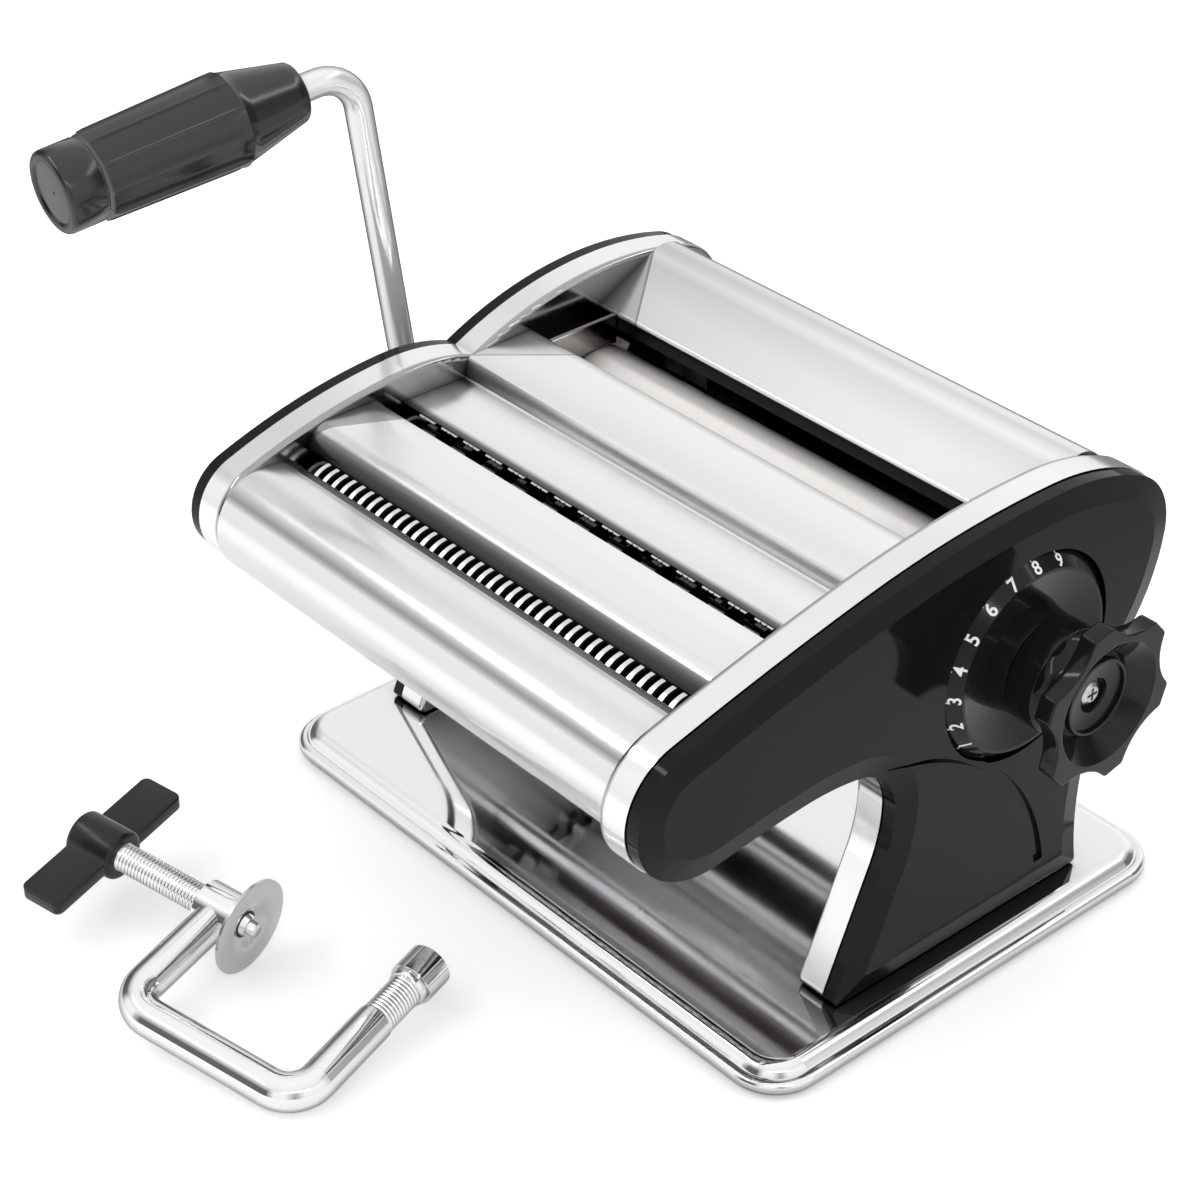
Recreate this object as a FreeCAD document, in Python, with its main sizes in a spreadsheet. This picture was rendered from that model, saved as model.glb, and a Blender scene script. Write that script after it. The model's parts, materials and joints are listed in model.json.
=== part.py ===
import FreeCAD, Part
import math
import os

from FreeCAD import Placement, Rotation, Vector

# Hand cranked pasta machine with a thickness dial, two cutter slots, a removable crank
# and a table clamp that lies beside it.
# Frame: +X towards the dial, -Y towards the cutter hood, +Z up, millimetres.
# The origin is the middle of the base, on the surface that the machine stands on.

SIZES = {
    # base tray
    "base_length": 205.0,
    "base_depth": 149.0,
    "base_corner": 14.0,
    "base_top": 8.0,
    "base_sheet": 1.2,
    "base_bead": 4.0,
    "base_shoulder": 2.2,
    "base_round": 4.6,
    "base_lift": 0.8,
    "bottom_thick": 2.4,
    "bottom_fit": 0.2,
    "pillar_radius": 7.0,
    "pillar_inset": 22.0,
    # side frames and covers
    "frame_inner": 77.5,
    "frame_sheet": 1.5,
    "frame_depth": 9.0,
    "frame_edge": 1.3,
    "cover_gap": 0.3,
    "cover_setback": 0.4,
    "cover_rim": 3.8,
    "cover_bevel_rise": 1.6,
    "cover_bevel_width": 6.5,
    "cover_wall": 2.4,
    "cover_land": 4.0,
    # the long round groove in the covers, between two arcs
    "groove_y": -40.4,
    "groove_z": 6.2,
    "groove_radius": 71.6,
    "groove_shift": 3.4,
    "groove_end_z": 18.5,
    "groove_depth": 1.1,
    # side outline, seen from the dial side: y then z of each point that it runs through
    "nose_y": -91.0,
    "nose_z": 96.0,
    "nose_radius": 18.5,
    "brow_y": -34.0,
    "brow_z": 128.0,
    "crown_y": 30.0,
    "crown_z": 133.0,
    "shoulder_y": 60.0,
    "shoulder_z": 125.5,
    "back_y": 72.0,
    "back_z": 104.0,
    "waist_y": 63.5,
    "waist_z": 80.0,
    "hock_y": 50.5,
    "hock_z": 50.0,
    "heel_y": 50.0,
    "toe_y": -43.2,
    "foot_round": 2.5,
    "shin_y": -27.6,
    "shin_z": 45.0,
    "knee_y": -24.3,
    "knee_z": 62.0,
    "arch_y": -38.0,
    "arch_z": 78.3,
    "belly_y": -56.0,
    "belly_z": 79.3,
    "chin_y": -84.0,
    "chin_z": 76.4,
    # the crank side's outline where it differs: a smaller nose and a notch in the rim
    "left_nose_y": -89.7,
    "left_nose_z": 96.4,
    "left_nose_radius": 15.5,
    "left_chin_z": 78.0,
    "hump_y": -42.0,
    "hump_z": 121.7,
    "notch_y": -18.2,
    "notch_z": 117.8,
    "peak_y": 31.8,
    "peak_z": 129.5,
    # folded top panels
    "panel_sheet": 0.8,
    "hood_inset": 4.5,
    "crease_y": -84.0,
    "crease_z": 109.4,
    "slot_one_front": -81.5,
    "slot_one_rear": -76.0,
    "bridge_top": 117.0,
    "bridge_round": 7.0,
    "slot_two_front": -53.0,
    "slot_two_rear": -43.8,
    "shelf_z": 113.2,
    "step_y": -22.4,
    "deck_z": 118.6,
    "slot_three_front": 1.4,
    "slot_three_rear": 27.0,
    "lip_z": 117.5,
    "lip_depth": 4.0,
    "ridge_y": 47.0,
    "ridge_z": 127.6,
    "rear_inset": 2.2,
    "rear_tail_z": 70.0,
    # smooth rollers
    "roller_radius": 16.0,
    "roller_gap": 1.7,
    "roller_y": 19.3,
    "roller_z": 93.3,
    "roller_left": -72.0,
    "roller_right": 76.5,
    "journal_radius": 7.4,
    "running_fit": 0.05,
    "bush_wall": 2.0,
    "bush_flange": 2.0,
    "bush_flange_thick": 1.5,
    "bush_length": 5.0,
    "bush_lip": 0.3,
    "gear_width": 4.0,
    "smooth_teeth": 12,
    "smooth_tip": 18.3,
    "smooth_root": 13.6,
    "smooth_tip_width": 1.7,
    "smooth_root_width": 4.0,
    # thickness adjuster
    "adjuster_drop": 4.0,
    "eccentric": 1.5,
    "disc_radius": 6.0,
    "disc_thick": 3.6,
    "yoke_clearance": 0.25,
    "core_bore": 6.5,
    "core_shaft": 2.1,
    "stub_radius": 4.0,
    "block_width": 22.0,
    "block_height": 26.0,
    "block_seat": 4.8,
    "block_pocket": 4.4,
    "block_travel": 2.0,
    "slide_fit": 0.1,
    "plate_offset": 7.4,
    "plate_thick": 1.5,
    "plate_radius": 26.0,
    "post_radius": 2.5,
    "post_circle": 22.0,
    "index_circle": 17.0,
    "index_turn": 72.0,
    "index_hole": 1.6,
    "index_pin": 1.4,
    # dial and knob
    "dial_radius": 28.8,
    "dial_face_radius": 25.6,
    "dial_recess_gap": 0.7,
    "dial_back": 88.7,
    "dial_edge": 91.0,
    "dial_face": 94.4,
    "dial_dish": 92.0,
    "neck_radius": 14.0,
    "collar_end": 97.6,
    "hub_radius": 14.5,
    "hub_back": 98.0,
    "hub_front": 106.4,
    "stem_radius": 12.3,
    "wheel_back": 114.0,
    "knob_front": 119.0,
    "knob_radius": 23.0,
    "knob_valley": 17.8,
    "knob_lobes": 6,
    "knob_phase": 42.0,
    "lobe_half_width": 3.2,
    "knob_dish": 16.8,
    "knob_dish_depth": 6.0,
    "boss_radius": 10.6,
    "boss_front": 115.4,
    "boss_wall": 1.0,
    "boss_recess": 1.4,
    "square_side": 6.4,
    "tail_radius": 2.6,
    "spring_bore": 4.6,
    "spring_seat": 98.0,
    "spring_end": 110.9,
    "spring_wire": 0.5,
    "spring_turns": 5,
    "screw_shank": 1.9,
    "screw_head": 3.1,
    # cutters
    "cutter_radius": 7.6,
    "cutter_core": 5.2,
    "cutter_spacing": 14.6,
    "thin_nip_y": -79.9,
    "thin_axis_z": 99.6,
    "wide_nip_y": -48.7,
    "wide_axis_z": 101.6,
    "cutter_left": -76.9,
    "cutter_right": 76.9,
    "thin_rings": 40,
    "thin_ring_share": 0.42,
    "wide_rings": 12,
    "wide_ring_share": 0.44,
    "cutter_journal": 4.6,
    "cutter_bush_wall": 1.2,
    "cutter_bush_flange": 1.2,
    "cutter_teeth": 10,
    "cutter_tip": 8.3,
    "cutter_root": 6.0,
    "cutter_tip_width": 1.0,
    "cutter_root_width": 2.0,
    "comb_sheet": 1.0,
    "comb_depth": 4.8,
    "comb_clearance": 0.6,
    # tie rods and small fasteners
    "tie_radius": 3.0,
    "tie_screw_radius": 1.8,
    "tie_head_radius": 4.0,
    "tie_head_thick": 2.2,
    "frame_screw_radius": 1.8,
    # guides and scrapers
    "guide_x": 70.0,
    "guide_thick": 1.2,
    "guide_clearance": 0.5,
    "guide_gap": 0.3,
    "guard_z": 112.6,
    "scraper_sheet": 1.0,
    "scraper_clearance": 0.35,
    # crank
    "crank_radius": 3.9,
    "crank_plane": -114.5,
    "elbow_y": -28.5,
    "elbow_z": 192.7,
    "crank_bend": 12.0,
    "crank_flats": 5.4,
    "socket_flats": 5.6,
    "socket_depth": 13.0,
    "drive_end": -88.4,
    "grip_start": 17.7,
    "grip_length": 73.4,
    "grip_lean_x": -0.071,
    "grip_lean_z": -0.115,
    "grip_radius": 13.0,
    "grip_end_radius": 11.9,
    "grip_ribs": 10,
    "grip_groove": 0.7,
    "grip_cone_radius": 8.2,
    "grip_cone_length": 21.0,
    "grip_cap_radius": 11.3,
    "grip_cap_length": 11.0,
    "grip_collar": 2.0,
    # table clamp, in its own frame: u along its back, v along its arms
    "clamp_x": -26.7,
    "clamp_y": -177.1,
    "clamp_z": 10.58,
    "clamp_yaw": 15.3,
    "clamp_pitch": 5.9,
    "clamp_roll": 5.8,
    "clamp_radius": 5.1,
    "clamp_back": 55.0,
    "clamp_arm": 38.4,
    "clamp_hook": 46.8,
    "clamp_step": 31.8,
    "clamp_bend": 8.5,
    "clamp_neck": 4.3,
    "clamp_head_radius": 6.2,
    "clamp_head_length": 8.4,
    "clamp_boss_radius": 6.6,
    "clamp_boss_length": 10.4,
    "thread_radius": 4.0,
    "wing_gap": 28.0,
    "wing_hub_radius": 7.0,
    "wing_hub_length": 15.0,
    "wing_span": 25.0,
    "wing_height": 13.0,
    "wing_thick": 4.0,
    "pad_offset": 6.8,
    "pad_radius": 13.5,
    "pad_sheet": 1.0,
    "pad_dish": 2.0,
    "tip_radius": 2.0,
}

doc = FreeCAD.newDocument("PastaMachine")
sheet = doc.addObject("Spreadsheet::Sheet", "Sizes")
for row, (alias, number) in enumerate(SIZES.items(), start=1):
    sheet.set("A%d" % row, alias)
    sheet.set("B%d" % row, str(number))
    sheet.setAlias("B%d" % row, alias)
doc.recompute()


class Size:
    """A length that carries its number and the sheet expression it comes from."""

    def __init__(self, number, text=None):
        self.number = float(number)
        self.text = text or repr(float(number))

    def joined(self, sign, other, number):
        return Size(number, "(%s %s %s)" % (self.text, sign, other.text))

    def __add__(self, other):
        other = as_size(other)
        return self.joined("+", other, self.number + other.number)

    def __sub__(self, other):
        other = as_size(other)
        return self.joined("-", other, self.number - other.number)

    def __mul__(self, other):
        other = as_size(other)
        return self.joined("*", other, self.number * other.number)

    def __truediv__(self, other):
        other = as_size(other)
        return self.joined("/", other, self.number / other.number)

    def __radd__(self, other):
        return as_size(other) + self

    def __rsub__(self, other):
        return as_size(other) - self

    def __rmul__(self, other):
        return as_size(other) * self

    def __neg__(self):
        return as_size(0.0) - self

    def __float__(self):
        return self.number


def as_size(thing):
    return thing if isinstance(thing, Size) else Size(thing)


class Cells:
    """Reads a named cell of the sheet as a Size."""

    def __getattr__(self, alias):
        return Size(sheet.get(alias), "Sizes." + alias)


S = Cells()
PARTS = []
X_AXIS = Vector(1, 0, 0)
Y_AXIS = Vector(0, 1, 0)
Z_AXIS = Vector(0, 0, 1)


# --- helpers: bound features -------------------------------------------------------------

def bind(feature, path, amount):
    feature.setExpression(path, as_size(amount).text)


def keep(feature, label):
    """Marks a finished object as a sub-part and gives it its label."""
    feature.Label = label
    PARTS.append(feature)
    return feature


def place(feature, x=0.0, y=0.0, z=0.0):
    for letter, amount in zip("xyz", (x, y, z)):
        bind(feature, "Placement.Base." + letter, amount)


def cylinder(name, radius, length, x, y, z, axis=X_AXIS):
    rod = doc.addObject("Part::Cylinder", name)
    rod.Placement = Placement(Vector(), Rotation(Z_AXIS, axis))
    bind(rod, "Radius", radius)
    bind(rod, "Height", length)
    place(rod, x, y, z)
    return rod


def box(name, size_x, size_y, size_z, x, y, z):
    block = doc.addObject("Part::Box", name)
    bind(block, "Length", size_x)
    bind(block, "Width", size_y)
    bind(block, "Height", size_z)
    place(block, x, y, z)
    return block


def fuse(name, pieces):
    joined = doc.addObject("Part::MultiFuse", name)
    joined.Shapes = pieces
    return joined


def cut(name, base, tools):
    result = doc.addObject("Part::Cut", name)
    result.Base = base
    result.Tool = tools[0] if len(tools) == 1 else fuse(name + "_tools", tools)
    return result


def group(name, pieces):
    """Several separate solids of one kind in one node."""
    together = doc.addObject("Part::Compound", name)
    together.Links = pieces
    return together


def turned(name, stations, x=0.0, y=0.0, z=0.0):
    """A body turned about a line along X; stations are (x, radius) pairs of its half section."""
    body = doc.addObject("PartDesign::Body", name)
    sketch = body.newObject("Sketcher::SketchObject", name + "_section")
    plane = [item for item in body.Origin.OriginFeatures if item.Role == "XY_Plane"][0]
    sketch.AttachmentSupport = (plane, [""])
    sketch.MapMode = "FlatFace"
    stations = [(as_size(along), as_size(radius)) for along, radius in stations]
    corners = [Vector(float(along), float(radius), 0) for along, radius in stations]
    count = len(corners)
    for index in range(count):
        sketch.addGeometry(Part.LineSegment(corners[index], corners[(index + 1) % count]), False)
    for index in range(count):
        constrain(sketch, "Coincident", index, 2, (index + 1) % count, 1)
    for index, (along, radius) in enumerate(stations):
        constrain_to_origin(sketch, "DistanceX", index, along)
        constrain_to_origin(sketch, "DistanceY", index, radius)
    turn = body.newObject("PartDesign::Revolution", name + "_turn")
    turn.Profile = sketch
    turn.ReferenceAxis = (sketch, ["H_Axis"])
    turn.Angle = 360.0
    body.Tip = turn
    place(body, x, y, z)
    return body


def constrain(sketch, kind, *where):
    import Sketcher
    return sketch.addConstraint(Sketcher.Constraint(kind, *where))


def constrain_to_origin(sketch, kind, geometry, amount):
    index = constrain(sketch, kind, -1, 1, geometry, 1, float(amount))
    sketch.setExpression("Constraints[%d]" % index, amount.text)


def formed(name, shape):
    """A sub-part whose shape is made with Part's own functions from the sheet's values."""
    feature = doc.addObject("Part::Feature", name)
    feature.Shape = shape
    return feature


# --- helpers: outlines and folded sheet --------------------------------------------------

def point(y, z, x=0.0):
    return Vector(float(x), float(y), float(z))


def arc_from_tangent(start, angle, end):
    """The arc that leaves start at an angle, in the YZ plane, and reaches end."""
    chord = end - start
    chord_angle = math.atan2(chord.z, chord.y)
    turn = 2 * (chord_angle - angle)
    turn = math.atan2(math.sin(turn), math.cos(turn))
    middle_angle = angle + turn / 4
    middle_length = chord.Length / 2 / math.cos(turn / 4)
    middle = start + point(math.cos(middle_angle), math.sin(middle_angle)) * middle_length
    return Part.Arc(start, middle, end).toShape(), angle + turn


def chain(start, angle, stops):
    """Arcs that run into each other smoothly through the stops."""
    edges = []
    for stop in stops:
        edge, angle = arc_from_tangent(start, angle, stop)
        edges.append(edge)
        start = stop
    return edges


def line(start, end):
    return Part.LineSegment(start, end).toShape()


def round_point(middle, radius, angle):
    radians = math.radians(angle)
    return middle + point(math.cos(radians), math.sin(radians)) * radius


NOSE_MIDDLE = point(S.nose_y, S.nose_z)
LEFT_NOSE_MIDDLE = point(S.left_nose_y, S.left_nose_z)
NOSE_FRONT_ANGLE = 170.0
NOSE_BOTTOM_ANGLE = 230.0


def top_of_right_side(start):
    """One long curve from the nose to the crown."""
    stops = [point(S.brow_y, S.brow_z), point(S.crown_y, S.crown_z),
             point(S.shoulder_y, S.shoulder_z)]
    return chain(start, math.radians(15.0), stops)


def top_of_left_side(start):
    """Two humps with a notch between them."""
    notch = point(S.notch_y, S.notch_z)
    front = chain(start, math.radians(20.0), [point(S.hump_y, S.hump_z), notch])
    rear_stops = [point(S.peak_y, S.peak_z), point(S.shoulder_y, S.shoulder_z)]
    return front + chain(notch, math.radians(26.5), rear_stops)


def closed_outline(middle, radius, top_angle, top_edges, chin):
    """The outline of a side frame in the YZ plane, through nose, back, heel and toe."""
    top = round_point(middle, radius, top_angle)
    bottom = round_point(middle, radius, NOSE_BOTTOM_ANGLE)
    front = round_point(middle, radius, NOSE_FRONT_ANGLE)
    edges = [Part.Arc(bottom, front, top).toShape()] + top_edges(top)
    last = edges[-1]
    tangent = last.tangentAt(last.LastParameter)
    heel, toe = point(S.heel_y, S.base_top), point(S.toe_y, S.base_top)
    shin = point(S.shin_y, S.shin_z)
    back_stops = [point(S.back_y, S.back_z), point(S.waist_y, S.waist_z),
                  point(S.hock_y, S.hock_z), heel]
    edges += chain(point(S.shoulder_y, S.shoulder_z), math.atan2(tangent.z, tangent.y), back_stops)
    leg_stops = [chin, point(S.belly_y, S.belly_z), point(S.arch_y, S.arch_z),
                 point(S.knee_y, S.knee_z), shin]
    edges += chain(bottom, math.radians(NOSE_BOTTOM_ANGLE + 90.0), leg_stops)
    edges += [line(heel, toe), line(toe, shin)]
    return Part.Wire(Part.__sortEdges__(edges))


def side_slab(wire, x_start, x_end):
    """A slab of a side's outline, with its two corners at the foot rounded."""
    solid = slab(wire, x_start, x_end)
    foot = float(S.base_top)
    corners = [edge for edge in solid.Edges
               if edge.BoundBox.ZMax < foot + 1e-6 and abs(edge.tangentAt(0).x) > 0.9]
    return solid.makeFillet(float(S.foot_round), corners)


def inset_wire(wire, amount):
    return wire if amount == 0 else wire.makeOffset2D(-amount)


def slab(wire, x_start, x_end):
    face = Part.Face(wire)
    face.translate(Vector(float(x_start), 0, 0))
    return face.extrude(Vector(float(x_end) - float(x_start), 0, 0))


def rounded_path(corners, radius):
    """A wire through the corners with a tangent arc at each inner one."""
    edges = []
    start = corners[0]
    for before, corner, after in zip(corners, corners[1:], corners[2:]):
        back = (before - corner).normalize()
        ahead = (after - corner).normalize()
        half = back.getAngle(ahead) / 2
        reach = radius / math.tan(half)
        middle = (back + ahead).normalize() * (radius / math.sin(half) - radius)
        edges.append(line(start, corner + back * reach))
        edges.append(Part.Arc(corner + back * reach, corner + middle,
                              corner + ahead * reach).toShape())
        start = corner + ahead * reach
    edges.append(line(start, corners[-1]))
    return edges


def folded(edges, thickness, x_start, x_end):
    """Sheet of one thickness that follows the edges, as wide as the span given."""
    wire = Part.Wire(edges)
    face = wire.makeOffset2D(float(thickness), 0, True, True, False)
    face.translate(Vector(float(x_start), 0, 0))
    return face.extrude(Vector(float(x_end) - float(x_start), 0, 0))


def round_bar(edges, radius):
    """A round bar along the edges."""
    wire = Part.Wire(edges)
    start = wire.Vertexes[0].Point
    direction = edges[0].tangentAt(edges[0].FirstParameter)
    ring = Part.Wire(Part.makeCircle(float(radius), start, direction))
    return wire.makePipeShell([ring], True, True)


def drum(radius, x_start, x_end, y, z):
    """A plain cylinder along X."""
    return Part.makeCylinder(float(radius), float(x_end) - float(x_start),
                             point(y, z, x_start), X_AXIS)


def cuboid(x_range, y_range, z_range):
    (x_low, x_high), (y_low, y_high), (z_low, z_high) = x_range, y_range, z_range
    return Part.makeBox(float(x_high) - float(x_low), float(y_high) - float(y_low),
                        float(z_high) - float(z_low), point(y_low, z_low, x_low))


def prism(flats, x_start, x_end, y, z, sides=4):
    """A bar of square section along X, measured across its flats."""
    reach = float(flats) / 2 / math.cos(math.pi / sides)
    corners = [point(float(y) + reach * math.cos(math.pi * (2 * i + 1) / sides),
                     float(z) + reach * math.sin(math.pi * (2 * i + 1) / sides), x_start)
               for i in range(sides)]
    face = Part.Face(Part.makePolygon(corners + corners[:1]))
    return face.extrude(Vector(float(x_end) - float(x_start), 0, 0))


# --- places that several sub-parts share -------------------------------------------------

WEB_OUTER = S.frame_inner + S.frame_sheet
FLANGE_EDGE = S.frame_inner + S.frame_depth
COVER_START = FLANGE_EDGE + S.cover_gap
COVER_FACE = COVER_START + S.cover_rim + S.cover_bevel_rise
FRONT_ROLLER_Y = S.roller_y - S.roller_radius * 2 - S.roller_gap
ADJUSTER_Z = S.roller_z - S.adjuster_drop
THIN_FRONT_Y = S.thin_nip_y - S.cutter_spacing / 2
THIN_REAR_Y = S.thin_nip_y + S.cutter_spacing / 2
WIDE_FRONT_Y = S.wide_nip_y - S.cutter_spacing / 2
WIDE_REAR_Y = S.wide_nip_y + S.cutter_spacing / 2
CUTTER_AXES = {
    "thin_cutter_front": (THIN_FRONT_Y, S.thin_axis_z),
    "thin_cutter_rear": (THIN_REAR_Y, S.thin_axis_z),
    "wide_cutter_front": (WIDE_FRONT_Y, S.wide_axis_z),
    "wide_cutter_rear": (WIDE_REAR_Y, S.wide_axis_z),
}
# y and z of the bars that hold the two frames apart
TIE_PLACES = [(S.belly_y - 8.5, S.belly_z + 6.0), (S.knee_y + 12.3, S.knee_z - 3.0),
              (S.hock_y - 13.0, S.hock_z + 12.0), (S.shoulder_y - 2.0, S.back_z + 8.0)]
PLATE_START = WEB_OUTER + S.plate_offset


def frame_screw_places(sign):
    middle = sign * (float(WEB_OUTER) + float(FLANGE_EDGE)) / 2
    return [(middle, float(S.toe_y) + 14.0), (middle, float(S.heel_y) - 14.0)]


# --- base --------------------------------------------------------------------------------

def rounded_plate(length, depth, corner, z_low, z_high):
    """A flat block with round upright corners, centred on the Z axis."""
    block = cuboid((-length / 2, length / 2), (-depth / 2, depth / 2), (z_low, z_high))
    upright = [edge for edge in block.Edges if abs(edge.tangentAt(0).z) > 0.9]
    return block.makeFillet(corner, upright)


def edges_at(shape, height):
    return [edge for edge in shape.Edges
            if abs(edge.BoundBox.ZMin - height) < 1e-6 and abs(edge.BoundBox.ZMax - height) < 1e-6]


def base_hollow_inset():
    return float(S.base_shoulder) + float(S.base_round) * 0.45


def make_base():
    """A pressed tray: a bead round the foot, a shoulder and a flat top."""
    length, depth, corner = float(S.base_length), float(S.base_depth), float(S.base_corner)
    lift, top = float(S.base_lift), float(S.base_top)
    bead_top = lift + float(S.base_bead)
    shoulder = float(S.base_shoulder)
    bead = rounded_plate(length, depth, corner, lift, bead_top)
    bead = bead.makeFillet(float(S.base_bead) * 0.42, edges_at(bead, lift) + edges_at(bead, bead_top))
    body = rounded_plate(length - 2 * shoulder, depth - 2 * shoulder, corner - shoulder, lift, top)
    body = body.makeFillet(float(S.base_round), edges_at(body, top))
    inner = base_hollow_inset()
    hollow = rounded_plate(length - 2 * inner, depth - 2 * inner, corner - inner, 0.0,
                           top - float(S.base_sheet))
    tray = bead.fuse(body).removeSplitter().cut(hollow)
    for sign in (-1, 1):
        for x, y in frame_screw_places(sign):
            tray = tray.cut(Part.makeCylinder(float(S.frame_screw_radius), 4.0,
                                              Vector(x, y, top - 3.0)))
    return tray


def make_base_bottom():
    """A plate that closes the tray from below, with a pillar near each corner."""
    inset = base_hollow_inset() + float(S.bottom_fit)
    length, depth = float(S.base_length) - 2 * inset, float(S.base_depth) - 2 * inset
    plate = rounded_plate(length, depth, float(S.base_corner) - inset, 0.0, float(S.bottom_thick))
    reach_x = float(S.base_length) / 2 - float(S.pillar_inset)
    reach_y = float(S.base_depth) / 2 - float(S.pillar_inset)
    height = float(S.base_top) - float(S.base_sheet)
    pillars = [Part.makeCylinder(float(S.pillar_radius), height,
                                 Vector(sign_x * reach_x, sign_y * reach_y, 0))
               for sign_x in (-1, 1) for sign_y in (-1, 1)]
    return plate.fuse(pillars).removeSplitter()


keep(formed("BasePlate", make_base()), "base_plate")
keep(formed("BaseBottom", make_base_bottom()), "base_bottom")


# --- side frames -------------------------------------------------------------------------

def block_window():
    """Half width and half height of the hole that a bearing block slides in."""
    half_width = float(S.block_width) / 2 + float(S.block_travel)
    half_height = float(S.block_height) / 2 + float(S.slide_fit)
    return half_width, half_height


def frame_holes(x_low, x_high):
    """Everything that passes through a side frame's web."""
    holes = [drum(S.journal_radius + S.bush_wall, x_low, x_high, FRONT_ROLLER_Y, S.roller_z)]
    half_width, half_height = block_window()
    roller_y, roller_z = float(S.roller_y), float(S.roller_z)
    holes.append(cuboid((x_low, x_high), (roller_y - half_width, roller_y + half_width),
                        (roller_z - half_height, roller_z + half_height)))
    for y, z in CUTTER_AXES.values():
        holes.append(drum(S.cutter_journal + S.cutter_bush_wall, x_low, x_high, y, z))
    for y, z in TIE_PLACES:
        holes.append(drum(S.tie_screw_radius, x_low, x_high, y, z))
    return holes


def make_frame(sign, wire):
    """A pressed pan: a flat web with a flange that turns outwards all round it."""
    inner, outer = float(S.frame_inner), float(FLANGE_EDGE)
    web = float(WEB_OUTER)
    pan = side_slab(wire, sign * inner, sign * outer)
    rim = [edge for edge in pan.Edges
           if abs(edge.BoundBox.XMin - sign * inner) < 1e-6
           and abs(edge.BoundBox.XMax - sign * inner) < 1e-6]
    pan = pan.makeFillet(float(S.frame_edge), rim)
    pan = pan.cut(slab(inset_wire(wire, float(S.frame_sheet)), sign * web, sign * (outer + 1)))
    low, high = sorted((sign * (inner - 1), sign * (web + 1)))
    for hole in frame_holes(low, high):
        pan = pan.cut(hole)
    for x, y in frame_screw_places(sign):
        pan = pan.cut(Part.makeCylinder(float(S.frame_screw_radius), 6.0,
                                        Vector(x, y, float(S.base_top) - 2.0)))
    return pan


RIGHT_WIRE = closed_outline(NOSE_MIDDLE, float(S.nose_radius), 105.0, top_of_right_side,
                            point(S.chin_y, S.chin_z))
LEFT_WIRE = closed_outline(LEFT_NOSE_MIDDLE, float(S.left_nose_radius), 110.0, top_of_left_side,
                           point(S.chin_y, S.left_chin_z))
keep(formed("RightFrame", make_frame(1, RIGHT_WIRE)), "right_side_frame")
keep(formed("LeftFrame", make_frame(-1, LEFT_WIRE)), "left_side_frame")


# --- plastic covers ----------------------------------------------------------------------

def make_cover(sign, wire):
    """A shallow shell with a wide bevel round its face."""
    start, face = float(COVER_START), float(COVER_FACE)
    outer = slab(inset_wire(wire, float(S.cover_setback)), sign * start, sign * face)
    rim = [edge for edge in outer.Edges
           if abs(edge.BoundBox.XMin - sign * face) < 1e-6
           and abs(edge.BoundBox.XMax - sign * face) < 1e-6]
    outer = outer.makeChamfer(float(S.cover_bevel_rise), float(S.cover_bevel_width), rim)
    outer = outer.common(side_slab(wire, sign * start, sign * face))
    hollow = slab(inset_wire(wire, float(S.cover_land)), sign * (start - 1),
                  sign * (face - float(S.cover_wall)))
    return outer.cut(hollow)


def cover_groove(sign):
    """A long round groove that is widest at its lower end, where it is cut off square."""
    face, depth = float(COVER_FACE), float(S.groove_depth)
    low, high = sorted((sign * (face - depth), sign * (face + 1)))
    radius, shift = float(S.groove_radius), float(S.groove_shift)
    outer = drum(radius, low, high, S.groove_y + shift, S.groove_z)
    inner = drum(radius, low - 1, high + 1, S.groove_y, S.groove_z)
    end_z = float(S.groove_end_z)
    keep_box = cuboid((low - 1, high + 1), (float(S.groove_y), float(S.groove_y) + 2 * radius),
                      (end_z, end_z + radius))
    return outer.cut(inner).common(keep_box)


def make_right_cover():
    cover = make_cover(1, RIGHT_WIRE)
    opening = S.dial_radius + S.dial_recess_gap
    cover = cover.cut(drum(opening, COVER_START - 1, COVER_FACE + 1, S.roller_y, ADJUSTER_Z))
    return cover.cut(cover_groove(1))


def make_left_cover():
    cover = make_cover(-1, LEFT_WIRE)
    hole = float(S.journal_radius) + 1.5
    low, high = -float(COVER_FACE) - 1, -float(COVER_START) + 1
    cover = cover.cut(drum(hole, low, high, FRONT_ROLLER_Y, S.roller_z))
    for name in ("thin_cutter_rear", "wide_cutter_rear"):
        y, z = CUTTER_AXES[name]
        cover = cover.cut(drum(float(S.cutter_journal) + 1.5, low, high, y, z))
    return cover.cut(cover_groove(-1))


keep(formed("RightCover", make_right_cover()), "right_cover")
keep(formed("LeftCover", make_left_cover()), "left_cover")


# --- folded panels between the frames ----------------------------------------------------

def make_hood():
    """Curves round the nose and ends in a crease and a lip at the first slot."""
    radius = float(S.nose_radius) - float(S.hood_inset)
    bottom, front, top = [round_point(NOSE_MIDDLE, radius, angle)
                          for angle in (228.0, 160.0, 82.0)]
    crease = point(S.crease_y, S.crease_z)
    edge = point(S.slot_one_front, S.crease_z - 0.6)
    edges = [Part.Arc(bottom, front, top).toShape(), line(top, crease), line(crease, edge),
             line(edge, edge - point(0, 2.0))]
    return folded(edges, -S.panel_sheet.number, -S.frame_inner, S.frame_inner)


def panel_from(corners, bend):
    edges = rounded_path(corners, bend)
    return folded(edges, -S.panel_sheet.number, -S.frame_inner, S.frame_inner)


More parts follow.
